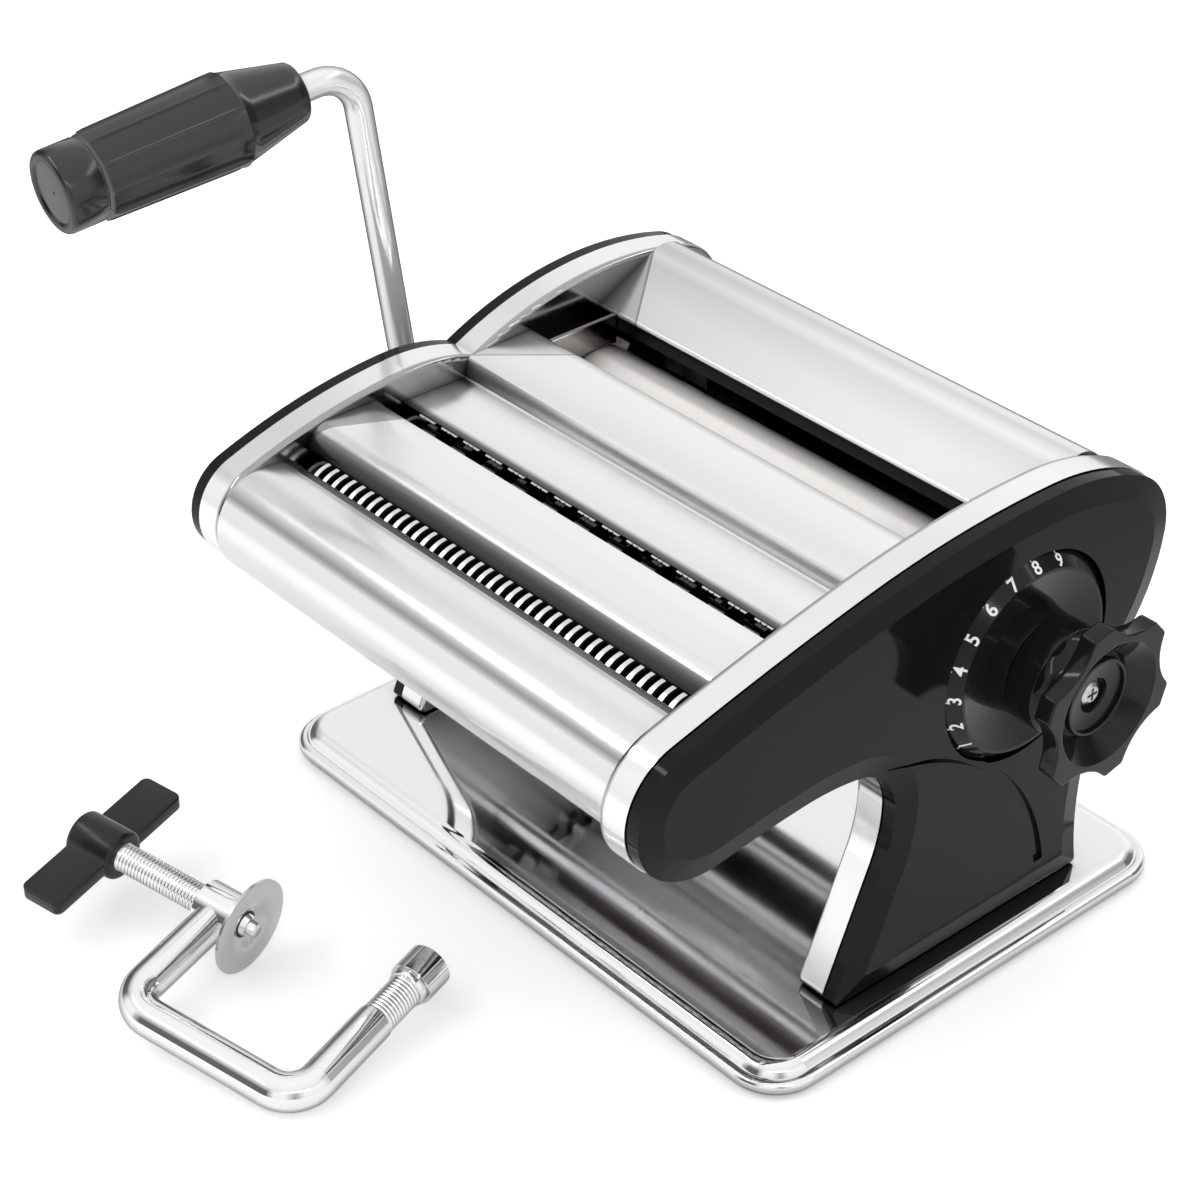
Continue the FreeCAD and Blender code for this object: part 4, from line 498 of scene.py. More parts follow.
def finish(name, color, metallic, low, high, relief, scale, depth, ior=1.5, tint=None,
           bands=(), recess=None, glow=0.0, deep=(0.01, 0.01, 0.01), rim=None):
    """A material from its row of numbers."""
    material = bpy.data.materials.new(name)
    material.use_nodes = True
    nodes, links = material.node_tree.nodes, material.node_tree.links
    shader = nodes["Principled BSDF"]
    color = (*color, 1.0)
    for entry, value in (("Base Color", color), ("Metallic", metallic), ("IOR", ior)):
        shader.inputs[entry].default_value = value
    position = nodes.new("ShaderNodeTexCoord").outputs["Object"]
    gloss = nodes.new("ShaderNodeGroup")
    gloss.node_tree = EFFECTS["smudge"]
    texture = nodes.new("ShaderNodeGroup")
    texture.node_tree = EFFECTS[relief]
    for node, entry, value in ((gloss, "Scale", PATCH_SCALE), (gloss, "Low", low),
                               (gloss, "High", high), (texture, "Scale", scale)):
        node.inputs[entry].default_value = value
    bump = new_node(nodes, "ShaderNodeBump", {"Strength": 1.0, "Distance": depth * MM})
    join(links, (position, gloss.inputs["Vector"]), (position, texture.inputs["Vector"]),
         (gloss.outputs["Value"], shader.inputs["Roughness"]),
         (texture.outputs["Height"], bump.inputs["Height"]),
         (bump.outputs["Normal"], shader.inputs["Normal"]))
    top_color = None
    if tint is not None:
        blend = new_node(nodes, "ShaderNodeMix", data_type="RGBA")
        blend.inputs["A"].default_value, blend.inputs["B"].default_value = color, (*tint, 1.0)
        links.new(texture.outputs["Height"], blend.inputs["Factor"])
        top_color = blend.outputs["Result"]
        links.new(top_color, shader.inputs["Base Color"])
    shade = painted_band_product(nodes, links, position, bands)
    # A glow makes the part shine as painted light; with bands it is bright only where they are, as painted
    # highlights.
    if glow:
        shader.inputs["Emission Strength"].default_value = glow
        shader.inputs["Emission Color"].default_value = WHITE
        if shade is not None:
            links.new(shade, shader.inputs["Emission Color"])
    if rim is not None:
        shade = times(nodes, links, shade, painted_rim_shade(nodes, links, rim))
    if recess is not None:
        shade = times(nodes, links, shade, painted_recess_shade(nodes, links, recess))
    # The shades mix the colour towards a dark colour: painted shade, painted reflections and painted rims.
    if shade is not None:
        painted_shade_mix = new_node(nodes, "ShaderNodeMix", data_type="RGBA")
        painted_shade_mix.inputs["A"].default_value, painted_shade_mix.inputs["B"].default_value = (*deep, 1.0), color
        if top_color is not None:
            links.new(top_color, painted_shade_mix.inputs["B"])
        join(links, (shade, painted_shade_mix.inputs["Factor"]),
             (painted_shade_mix.outputs["Result"], shader.inputs["Base Color"]))
    return material


print("smudge scale:", PATCH_SCALE)

# %% [markdown]
# The sheets are one polished steel in copies of slightly different brightness, set with their
# painted bands for how light falls on each sheet, the crank and the clamp are chrome, and the
# covers, the dial, the grip and the wing nut are black plastics of different gloss. The gears and
# bushes are off-white nylon. The thin cutter's rings glow with painted highlights, the wide
# cutter's rings are a dark copy as painted shade, and the rollers turn brown as painted shade
# near the deck.

# %% All finishes
BRUSHED = (1.0, 0.17, 0.23, "long_lines", 120.0, 0.003)
FINISHES = {name: finish(name, *row[:7], **(row[7] if len(row) > 7 else {})) for name, row in {
    "mirror_steel": ((0.93, 0.93, 0.94), 1.0, 0.04, 0.08, "waves", 9.0, 0.02,
                     dict(recess=25.0)),
    "frame_steel": ((0.93, 0.93, 0.94), 1.0, 0.13, 0.17, "waves", 9.0, 0.01,
                    dict(bands=("frame_inside|frame_low",), recess=25.0)),
    "hood_steel": ((0.90, 0.90, 0.905), *BRUSHED,
                   dict(bands=("hood_round", "hood_lip"), recess=25.0)),
    "bridge_steel": ((0.91, 0.91, 0.915), *BRUSHED,
                     dict(bands=("bridge_round", "bridge_fold"), recess=25.0)),
    "deck_steel": ((0.91, 0.91, 0.915), *BRUSHED,
                   dict(bands=("deck_step", "deck_fold"), recess=12.0)),
    "rear_steel": ((0.96, 0.96, 0.965), *BRUSHED,
                   dict(bands=("rear_slope", "rear_length", "rear_fold",
                               "rear_lip_height|rear_lip_depth"), recess=60.0)),
    # The crank and clamp chromes get a painted darker rim.
    "crank_chrome": ((0.86, 0.86, 0.87), 0.5, 0.14, 0.18, "waves", 30.0, 0.005,
                     dict(rim=0.12)),
    "clamp_chrome": ((0.93, 0.93, 0.94), 1.0, 0.05, 0.09, "waves", 30.0, 0.01,
                     dict(rim=0.25)),
    "black_cover": ((0.006, 0.006, 0.0065), 0.0, 0.06, 0.10, "grain", 60.0, 0.004,
                    dict(ior=1.24, tint=(0.008, 0.008, 0.0085))),
    "dial_black": ((0.006, 0.006, 0.007), 0.0, 0.08, 0.13, "grain", 500.0, 0.002,
                   dict(ior=1.36, tint=(0.009, 0.009, 0.010))),
    # The rollers' painted shade near the deck is brown.
    "roller_steel": ((0.95, 0.93, 0.90), 0.4, 0.26, 0.34, "turned_lines", 900.0, 0.01,
                     dict(tint=(0.99, 0.97, 0.95), recess=40.0, deep=(0.13, 0.105, 0.085))),
    # Painted highlights: the thin rings glow on their rims; painted shade on their walls and gaps.
    "ring_steel": ((0.92, 0.92, 0.92), 0.7, 0.20, 0.28, "turned_lines", 900.0, 0.01,
                   dict(bands=("thin_rings", "thin_tops"), glow=0.60)),
    # A dark copy of the ring steel, as painted shade in the wide cutter's slot.
    "wide_ring_steel": ((0.16, 0.16, 0.16), 1.0, 0.12, 0.20, "turned_lines", 900.0, 0.02,
                        dict(bands=("wide_rings",))),
    "glowing_comb_steel": ((0.88, 0.88, 0.88), 0.7, 0.20, 0.28, "grain", 900.0, 0.004,
                   dict(glow=0.35)),
    "guide_steel": ((0.86, 0.83, 0.80), 1.0, 0.12, 0.18, "long_lines", 300.0, 0.003,
                    dict(bands=("guide_edge",))),
    "cutter_steel": ((0.72, 0.72, 0.73), 1.0, 0.16, 0.26, "turned_lines", 900.0, 0.02,
                     dict(tint=(0.8, 0.8, 0.8))),
    "gear_nylon": ((0.72, 0.70, 0.64), 0.0, 0.40, 0.50, "grain", 700.0, 0.01,
                   dict(tint=(0.76, 0.74, 0.69))),
    "bush_nylon": ((0.75, 0.73, 0.68), 0.0, 0.35, 0.45, "grain", 700.0, 0.01,
                   dict(tint=(0.78, 0.76, 0.71))),
    "plain_steel": ((0.60, 0.60, 0.61), 1.0, 0.25, 0.35, "long_lines", 600.0, 0.01,
                    dict(tint=(0.66, 0.66, 0.67))),
    "guide_black": ((0.012, 0.012, 0.013), 0.0, 0.30, 0.40, "grain", 600.0, 0.01,
                    dict(tint=(0.018, 0.018, 0.019))),
    "grip_black": ((0.006, 0.006, 0.0065), 0.0, 0.16, 0.22, "grain", 500.0, 0.006,
                   dict(ior=1.64, tint=(0.010, 0.010, 0.010))),
    "cap_black": ((0.070, 0.070, 0.072), 0.0, 0.34, 0.42, "grain", 500.0, 0.006,
                  dict(ior=1.64, tint=(0.080, 0.080, 0.082))),
    "wing_black": ((0.008, 0.008, 0.0085), 0.0, 0.22, 0.30, "grain", 350.0, 0.015,
                   dict(ior=1.42, tint=(0.011, 0.011, 0.011))),
    "pad_steel": ((0.60, 0.60, 0.60), 1.0, 0.20, 0.28, "grain", 150.0, 0.01,
                  dict(tint=(0.68, 0.68, 0.68))),
    "bottom_plastic": ((0.025, 0.025, 0.027), 0.0, 0.40, 0.50, "grain", 500.0, 0.02,
                       dict(tint=(0.032, 0.032, 0.034))),
    "number_white": ((0.86, 0.86, 0.86), 0.0, 0.35, 0.45, "grain", 900.0, 0.004,
                     dict(tint=(0.80, 0.80, 0.80))),
    "shade_black": ((0.010, 0.010, 0.010), 0.0, 0.5, 0.6, "grain", 900.0, 0.004,
                   dict(tint=(0.014, 0.014, 0.014))),
}.items()}
print("finishes:", len(FINISHES))

# %% [markdown]
# Most parts take the finish of their material slot. The sheets with bands, the cutters that
# can be seen, the combs, the guides and the clamp's rod have finishes of their own.

# %% Paint the parts
slot_of = {row["node"]: row["material_slot"] for row in frame["record"]["subparts"]}
# These finishes carry painted bands and painted shade; the thin rings glow as painted highlights and the combs
# take the painted-shade black.
SPECIAL = {"front_hood": "hood_steel", "cutter_bridge_panel": "bridge_steel",
           "deck_panel": "deck_steel", "rear_cover": "rear_steel",
           "thin_cutter_rear": "ring_steel", "wide_cutter_rear": "wide_ring_steel",
           "thin_cutter_combs": "shade_black", "wide_cutter_combs": "shade_black",
           "left_dough_guide": "guide_steel", "right_dough_guide": "guide_steel",
           "left_side_frame": "frame_steel", "right_side_frame": "frame_steel",
           "clamp_rod": "clamp_chrome", "clamp_pad_ring": "clamp_chrome"}
for node_name, node_object in NODES.items():
    node_object.data.materials.clear()
    node_object.data.materials.append(FINISHES[SPECIAL.get(node_name, slot_of[node_name])])
print("nodes painted:", len(slot_of))

# %% [markdown]
# ## Helpers for new pieces
# A piece is built along +X from the origin and then its mesh is moved into place, so that
# the object itself stays at the origin. `grid_form` lays a skin over rows of points and
# `lathe_form` turns a half section about X.

# %% From points to pieces
WELD_DISTANCE, POINT_RADIUS = 1e-7, 0.05


def piece_from(form, name, material, place=None, sharp=35.0):
    """Makes an object of a bmesh, with smooth faces and sharp edges above an angle."""
    bmesh.ops.remove_doubles(form, verts=form.verts, dist=WELD_DISTANCE)
    bmesh.ops.recalc_face_normals(form, faces=form.faces)
    for face in form.faces:
        face.smooth = True
    limit = math.radians(sharp)
    for edge in form.edges:
        if len(edge.link_faces) == 2:
            edge.smooth = edge.calc_face_angle() < limit
    mesh = bpy.data.meshes.new(name)
    form.to_mesh(mesh)
    form.free()
    if place is not None:
        mesh.transform(place)
    mesh.materials.append(FINISHES[material])
    item = bpy.data.objects.new(name, mesh)
    bpy.context.scene.collection.objects.link(item)
    return item


def grid_form(rows, closed_rows=False):
    """A bmesh skin over rows of points; each row is a closed ring."""
    form = bmesh.new()
    rings = [[form.verts.new(point) for point in row] for row in rows]
    pairs = list(zip(rings, rings[1:])) + ([(rings[-1], rings[0])] if closed_rows else [])
    for ring, after in pairs:
        count = len(ring)
        for index in range(count):
            corners = (ring[index], ring[(index + 1) % count],
                       after[(index + 1) % count], after[index])
            form.faces.new(corners)
    return form, rings


def lathe_form(stations, segments, ripple=None):
    """Turns (x, radius) stations, in millimetres, about X; ripple changes the radius."""
    rows = []
    for along_x, radius in stations:
        row = []
        for index in range(segments):
            angle = 2 * math.pi * index / segments
            reach = radius if ripple is None else ripple(along_x, radius, angle)
            row.append(Vector((along_x, reach * math.cos(angle), reach * math.sin(angle))) * MM)
        rows.append(row)
    form, rings = grid_form(rows)
    for station, ring in ((stations[0], rings[0]), (stations[-1], rings[-1])):
        if station[1] > POINT_RADIUS:
            form.faces.new(ring)
    return form


print("shape helpers:", [helper.__name__ for helper in (piece_from, grid_form, lathe_form)])

# %% [markdown]
# `along` gives the matrix that lays a piece on an axis and `middle_of` measures a part.
# `stand_in` says which body a piece rides on and which plain solids of the model it stands for.

# %% From pieces to the machine
def along(axis, start):
    """The matrix that takes +X to an axis and the origin to a start point, in metres."""
    x = Vector(axis).normalized()
    y = Vector((0, 0, 1)).cross(x).normalized()
    z = x.cross(y)
    turn = Matrix((x, y, z)).transposed().to_4x4()
    return Matrix.Translation(Vector(start)) @ turn


def middle_of(node):
    """The middle of a node's box, in metres."""
    low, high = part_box(node)
    return (low + high) / 2


def stand_in(item, body, slot, *nodes):
    """The piece rides on a body and stands for the nodes given; the slot is not used."""
    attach(item, body)
    if nodes:
        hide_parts(*nodes)
    return item


print("dial axis in mm:", [round(v / MM, 2) for v in middle_of("thickness_dial")])

# %% [markdown]
# ## Repeating with Geometry Nodes
# Ribs and comb tips are one item repeated in even steps. One node tree does it: it puts
# copies of the modifier's own mesh on points, turns each by a step about X and shifts it
# by a step along X, then realizes them and sets their material.

# %% The repeat tree
def repeat_tree():
    """The tree and the identifiers of its named inputs."""
    tree = bpy.data.node_groups.new("repeat_item", "GeometryNodeTree")
    face = tree.interface
    face.new_socket("Geometry", in_out="INPUT", socket_type="NodeSocketGeometry")
    wanted = (("Count", "NodeSocketInt"), ("Turn", "NodeSocketFloat"),
              ("Shift", "NodeSocketFloat"), ("Material", "NodeSocketMaterial"))
    ids = {title: face.new_socket(title, in_out="INPUT", socket_type=kind).identifier
           for title, kind in wanted}
    face.new_socket("Geometry", in_out="OUTPUT", socket_type="NodeSocketGeometry")
    nodes = tree.nodes
    enter, leave, points, index, place, spin, copies, real, paint = [nodes.new(kind) for kind in (
        "NodeGroupInput", "NodeGroupOutput", "GeometryNodePoints", "GeometryNodeInputIndex",
        "ShaderNodeCombineXYZ", "ShaderNodeCombineXYZ", "GeometryNodeInstanceOnPoints",
        "GeometryNodeRealizeInstances", "GeometryNodeSetMaterial")]
    shift, turn = [new_node(nodes, "ShaderNodeMath", operation="MULTIPLY") for _ in range(2)]
    join(tree.links, (enter.outputs["Count"], points.inputs["Count"]),
         (index.outputs[0], shift.inputs[0]), (enter.outputs["Shift"], shift.inputs[1]),
         (index.outputs[0], turn.inputs[0]), (enter.outputs["Turn"], turn.inputs[1]),
         (shift.outputs[0], place.inputs["X"]), (turn.outputs[0], spin.inputs["X"]),
         (place.outputs[0], points.inputs["Position"]),
         (points.outputs[0], copies.inputs["Points"]),
         (enter.outputs["Geometry"], copies.inputs["Instance"]),
         (spin.outputs[0], copies.inputs["Rotation"]), (copies.outputs[0], real.inputs[0]),
         (real.outputs[0], paint.inputs["Geometry"]),
         (enter.outputs["Material"], paint.inputs["Material"]),
         (paint.outputs[0], leave.inputs[0]))
    return tree, ids


REPEAT, REPEAT_IDS = repeat_tree()
print("repeat tree inputs:", sorted(REPEAT_IDS))

# %% [markdown]
# `repeated` gives the tree an item, a count and the steps, and keeps the result as a plain
# mesh that can be moved into place.

# %% Use the repeat tree
def repeated(form, name, material, count, turn=0.0, shift=0.0, place=None):
    """One item, repeated count times; the result is a plain mesh."""
    item = piece_from(form, name, material)
    modifier = item.modifiers.new("repeat", "NODES")
    modifier.node_group = REPEAT
    for title, value in (("Count", count), ("Turn", turn), ("Shift", shift),
                         ("Material", FINISHES[material])):
        modifier[REPEAT_IDS[title]] = value
    bpy.context.view_layer.update()
    solid = item.evaluated_get(bpy.context.evaluated_depsgraph_get())
    mesh = bpy.data.meshes.new_from_object(solid)
    item.modifiers.clear()
    item.data = mesh
    if place is not None:
        mesh.transform(place)
    return item


print("nodes in the repeat tree:", len(REPEAT.nodes))

# %% [markdown]
# ## The numbers of the dial
# The dial has its numbers on the bevelled edge. One function gives any point of that bevel,
# so that flat shapes can be wrapped round its cone.

# %% The dial's bevel
DIAL_AXIS = Vector(JOINTS["dial_turn"]["pos_m"])
DIAL_LOW, DIAL_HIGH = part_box("thickness_dial")
RIM_RADIUS = (DIAL_HIGH.z - DIAL_LOW.z) / 2
BEVEL_BACK, BEVEL_FRONT, BEVEL_FALL = 91.0 * MM, 94.4 * MM, 3.2 * MM
BEVEL_OUTER = Vector((BEVEL_BACK, RIM_RADIUS, 0))
BEVEL_INNER = Vector((BEVEL_FRONT, RIM_RADIUS - BEVEL_FALL, 0))


def on_bevel(across, up, lift, angle):
    """A point of the bevel: across runs round it, up runs outwards, all in metres."""
    slope = (BEVEL_OUTER - BEVEL_INNER).normalized()
    spot = (BEVEL_INNER + BEVEL_OUTER) / 2 + slope * up
    out = Vector((slope.y, -slope.x, 0))
    spot = spot + out * lift
    turn = angle - across / spot.y
    return Vector((spot.x, DIAL_AXIS.y + spot.y * math.cos(turn),
                   DIAL_AXIS.z + spot.y * math.sin(turn)))


print("dial radius in mm:", round(RIM_RADIUS / MM, 1))

# %% [markdown]
# Each digit is a text curve made into a mesh and wrapped round the bevel, with its top
# outwards, and a short tick stands at the rim beside it. Nine numbers fit in the dial's
# travel.

# %% Dial numbers
FIRST_NUMBER_ANGLE, NUMBER_STEP, NUMBER_COUNT = 217.0, -18.0, 9
DIGIT_SIZE, DIGIT_INWARDS, DIGIT_LIFT, TICK_LIFT = 4.9 * MM, 0.45 * MM, 0.02 * MM, 0.04 * MM
DIGIT_HALF_THICKNESS, DIGIT_BOLDNESS = 0.03 * MM, 0.09 * MM
TICK_CORNERS = ((-0.9, 1.6), (-0.5, 1.6), (-0.5, 2.2), (-0.9, 2.2))


def flat_text(words):
    """The mesh of a text, slightly thickened, in the XY plane."""
    curve = bpy.data.curves.new("number_" + words, "FONT")
    curve.body, curve.size = words, DIGIT_SIZE
    curve.align_x, curve.align_y = "CENTER", "CENTER"
    curve.extrude, curve.offset = DIGIT_HALF_THICKNESS, DIGIT_BOLDNESS
    holder = bpy.data.objects.new("number_" + words, curve)
    bpy.context.scene.collection.objects.link(holder)
    bpy.context.view_layer.update()
    mesh = bpy.data.meshes.new_from_object(holder)
    bpy.data.objects.remove(holder)
    return mesh


def dial_numbers():
    """All digits and their ticks in one piece."""
    form = bmesh.new()
    for index in range(NUMBER_COUNT):
        mesh = flat_text(str(index + 1))
        angle = math.radians(FIRST_NUMBER_ANGLE + NUMBER_STEP * index)
        for vertex in mesh.vertices:
            across, up, lift = vertex.co
            vertex.co = on_bevel(across, up - DIGIT_INWARDS, lift + DIGIT_LIFT, angle)
        form.from_mesh(mesh)
        corners = [on_bevel(x * MM, y * MM, TICK_LIFT, angle) for x, y in TICK_CORNERS]
        form.faces.new([form.verts.new(corner) for corner in corners])
    return piece_from(form, "dial_numbers", "number_white", sharp=20.0)


numbers = stand_in(dial_numbers(), "dial", "dial_black")
print("number faces:", len(numbers.data.polygons))

# %% [markdown]
# ## The knob
# A moulded wheel with six lobes. The outline is worked out first: flat lobe ends, and a
# round hollow between each two of them.

# %% Knob outline
LOBES, LOBE_PHASE, LOBE_HALF_WIDTH = 6, 42.0, 3.2
LOBE_RADIUS, HOLLOW_RADIUS = 23.0, 18.9


def lobe_outline(samples=360, painted_shade=2):
    """The wheel's radius at each degree: flat lobe ends and an arc between two lobes."""
    half = math.asin(LOBE_HALF_WIDTH / LOBE_RADIUS)
    step = 2 * math.pi / LOBES
    end = Vector((LOBE_RADIUS * math.cos(step / 2 - half),
                  LOBE_RADIUS * math.sin(step / 2 - half)))
    centre = (end.length_squared - HOLLOW_RADIUS ** 2) / (2 * (end.x - HOLLOW_RADIUS))
    arc = abs(centre - HOLLOW_RADIUS)
    radii = []
    for index in range(samples):
        turn = 2 * math.pi * index / samples - math.radians(LOBE_PHASE)
        off = (turn + step / 2) % step - step / 2
        if abs(off) <= half:
            radii.append(LOBE_RADIUS * math.cos(half) / math.cos(off))
            continue
        around = step / 2 - abs(off)
        reach = centre * math.cos(around)
        inside = max(arc ** 2 - (centre * math.sin(around)) ** 2, 0.0)
        radii.append(reach - math.sqrt(inside))
    values = np.array(radii)
    for _ in range(painted_shade):
        values = (np.roll(values, 1) + 2 * values + np.roll(values, -1)) / 4
    return values


OUTLINE = lobe_outline()
print("knob radius in mm:", round(float(OUTLINE.max()), 1))

# %% [markdown]
# The wheel's section is a list of stations from the hub to the screw's hole: a place, a
# radius, and whether the radius follows the lobes. All edges have small rounds, which catch
# the light.

# %% Knob
KNOB_BACK, KNOB_FRONT = 98.0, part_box("dial_knob")[1].x / MM
WHEEL_BACK, BOSS_FRONT = KNOB_FRONT - 5.0, KNOB_FRONT - 3.6


def wheel_rows(stations):
    """Rows of points round the dial's axis, one for each station."""
    rows = []
    for along_x, radius, lobed in stations:
        row = []
        for index, outline in enumerate(OUTLINE):
            turn = 2 * math.pi * index / len(OUTLINE)
            reach = (outline + radius if lobed else radius) * MM
            row.append(Vector((along_x * MM, DIAL_AXIS.y + reach * math.cos(turn),
                               DIAL_AXIS.z + reach * math.sin(turn))))
        rows.append(row)
    return rows


def round_over(centre_x, centre_r, radius, start, end, lobed=False, steps=4):
    """Stations along a small round, by its centre and start and end angles in degrees."""
    angles = [math.radians(start + (end - start) * index / steps) for index in range(steps + 1)]
    return [(centre_x + radius * math.cos(a), centre_r + radius * math.sin(a), lobed)
            for a in angles]


knob_stations = (
    [(KNOB_BACK, 10.0, False), (KNOB_BACK, 14.1, False)]
    + round_over(KNOB_BACK + 0.4, 14.1, 0.4, 180, 90)
    + round_over(106.0, 14.1, 0.4, 90, 30) + [(108.6, 12.3, False), (113.2, 12.2, False)]
    + [(WHEEL_BACK, 13.0, False), (WHEEL_BACK, -1.2, True)]
    + round_over(WHEEL_BACK + 0.6, -0.6, 0.6, 180, 90, True)
    + round_over(KNOB_FRONT - 0.5, -0.5, 0.5, 90, 0, True)
    + [(KNOB_FRONT, -0.7, True), (KNOB_FRONT, 17.35, False)]
    + round_over(KNOB_FRONT - 0.45, 17.15, 0.45, 0, -40)
    + [(KNOB_FRONT - 4.0, 12.9, False), (KNOB_FRONT - 5.6, 11.3, False),
       (KNOB_FRONT - 5.2, 10.7, False), (BOSS_FRONT - 0.3, 10.6, False)]
    + round_over(BOSS_FRONT - 0.3, 10.3, 0.3, 90, 0)
    + round_over(BOSS_FRONT - 0.3, 9.9, 0.3, 0, -90)
    + [(BOSS_FRONT - 1.3, 9.5, False), (BOSS_FRONT - 1.4, 9.3, False),
       (BOSS_FRONT - 1.4, 4.9, False)]
    + round_over(BOSS_FRONT - 1.7, 4.9, 0.3, 0, -90)
    + [(KNOB_BACK + 0.2, 4.6, False), (KNOB_BACK, 4.4, False)])
knob_form, _ = grid_form(wheel_rows(knob_stations), closed_rows=True)
knob = piece_from(knob_form, "knob_wheel", "dial_black", sharp=50.0)
stand_in(knob, "dial", "dial_black", "dial_knob")
print("knob reaches x in mm:", round(KNOB_FRONT, 1), "faces:", len(knob.data.polygons))

# %% [markdown]
# ## The ribbed grip
# The grip is moulded: a smooth cone, then a barrel of ten shallow flutes with narrow ridges
# between them, and a groove before its end cap. It is turned about its own axis, and the
# flutes are a ripple of its radius.

# %% Grip
GRIP = JOINTS["grip_spin"]
GRIP_PLACE = along(GRIP["axis"], GRIP["pos_m"])
GRIP_START, GRIP_LENGTH, CONE_END, CAP_LENGTH = 17.7, 73.4, 21.0, 11.0
FLUTES, FLUTE_DEPTH, FLUTE_FADE = 10, 0.55, 2.5
CONE_FROM, CONE_RUN, CONE_RADIUS, CONE_RISE, CONE_STEPS = 0.8, 19.6, 8.35, 4.25, 8
BARREL_RUN, BARREL_RADIUS, BARREL_TAPER, BARREL_STEPS = 40.4, 13.05, 1.1, 24
GRIP_SEGMENTS, CAP_SEGMENTS = 240, 120
BARREL_START = GRIP_START + CONE_END
GRIP_END = GRIP_START + GRIP_LENGTH
BARREL_END = GRIP_END - CAP_LENGTH


def flute(along_x, radius, turn):
    """Shallow flutes between narrow ridges, fading out at the cone."""
    if along_x < BARREL_START or along_x > BARREL_END:
        return radius
    fade = min(1.0, (along_x - BARREL_START) / FLUTE_FADE)
    place = (turn * FLUTES / (2 * math.pi)) % 1.0
    hollow = 1.0 - (2.0 * place - 1.0) ** 6
    return radius - FLUTE_DEPTH * fade * hollow


barrel = [(BARREL_START + BARREL_RUN * step / BARREL_STEPS,
           BARREL_RADIUS - BARREL_TAPER * step / BARREL_STEPS)
          for step in range(BARREL_STEPS + 1)]
cone = [(GRIP_START + CONE_FROM + CONE_RUN * step / CONE_STEPS,
         CONE_RADIUS + CONE_RISE * step / CONE_STEPS) for step in range(CONE_STEPS + 1)]
grip_stations = (
    [(GRIP_START + 4.2, 3.3), (GRIP_START + 0.3, 4.2), (GRIP_START, 4.6),
     (GRIP_START, 7.4), (GRIP_START + 0.25, 7.95)]
    + cone + barrel
    + [(BARREL_END - 0.8, 11.6), (BARREL_END - 0.7, 10.2), (BARREL_END - 0.2, 10.1)])
grip = piece_from(lathe_form(grip_stations, GRIP_SEGMENTS, flute), "fluted_grip", "grip_black",
                  GRIP_PLACE, sharp=40.0)
stand_in(grip, "grip", "grip_black", "crank_grip")
print("grip length in mm:", GRIP_LENGTH, "faces:", len(grip.data.polygons))

# %% [markdown]
# One thin rib is built on a ridge and repeated round the axis.

# %% Ribs
RIB_SECTION = ((-0.5, -0.25), (-0.3, 0.22), (0.0, 0.32), (0.3, 0.22), (0.5, -0.25))
RIB_SINK, RIB_FADE_IN, RIB_FADE_OUT, RIB_END_HEIGHT = 0.05, 2.0, 0.8, 0.2


def rib_form():
    """One thin rib that lies on the barrel's ridge and dies out at both ends."""
    rows = []
    for along_x, radius in barrel:
        fade = min(1.0, (along_x - barrel[0][0]) / RIB_FADE_IN,
                   (barrel[-1][0] - along_x) / RIB_FADE_OUT + RIB_END_HEIGHT)
        rows.append([Vector((along_x, radius + up * fade - RIB_SINK, across)) * MM
                     for across, up in RIB_SECTION])
    form, rings = grid_form(rows)
    form.faces.new(rings[0])
    form.faces.new(rings[-1])
    return form


ribs = repeated(rib_form(), "grip_ribs", "grip_black", FLUTES, turn=2 * math.pi / FLUTES,
                place=GRIP_PLACE)
stand_in(ribs, "grip", "grip_black")
print("rib faces:", len(ribs.data.polygons))

# %% [markdown]
# The end cap has a recessed face. Its matt ground looks paler than the rim, so those faces
# get a black of their own.

# %% End cap
GROUND_DEPTH, GROUND_TOLERANCE = 1.0, 0.15
cap_stations = [(BARREL_END + 0.1, 5.0), (BARREL_END + 0.1, 10.4), (BARREL_END + 0.3, 10.9),
                (BARREL_END + 0.8, 11.3), (GRIP_END - 1.6, 11.3), (GRIP_END - 0.8, 11.1),
                (GRIP_END - 0.25, 10.6), (GRIP_END, 10.0), (GRIP_END - 0.05, 9.1),
                (GRIP_END - 0.4, 8.6), (GRIP_END - 0.9, 8.3), (GRIP_END - GROUND_DEPTH, 8.0),
                (GRIP_END - GROUND_DEPTH, 0.6), (GRIP_END - 1.2, 0.4), (GRIP_END - 1.25, 0.02)]
cap = piece_from(lathe_form(cap_stations, CAP_SEGMENTS), "grip_end_cap", "grip_black",
                 GRIP_PLACE, sharp=45.0)
cap.data.materials.append(FINISHES["cap_black"])
cap_axis = (GRIP_PLACE.to_3x3() @ Vector((1.0, 0.0, 0.0))).normalized()
cap_ground = (GRIP_PLACE @ Vector(((GRIP_END - GROUND_DEPTH) * MM, 0.0, 0.0))).dot(cap_axis)
for face in cap.data.polygons:
    on_ground = abs(face.center.dot(cap_axis) - cap_ground) < GROUND_TOLERANCE * MM
    if on_ground and face.normal.dot(cap_axis) > 0.9:
        face.material_index = 1
stand_in(cap, "grip", "grip_black", "crank_grip_cap")
print("paler cap faces:", sum(face.material_index for face in cap.data.polygons))

# %% [markdown]
# ## The threads of the clamp
# The clamp screw is threaded from the wing nut to its tip. A thread is a polar grid whose
# radius rises and falls with the distance along the axis plus the turn, so it climbs by one
# pitch per turn.

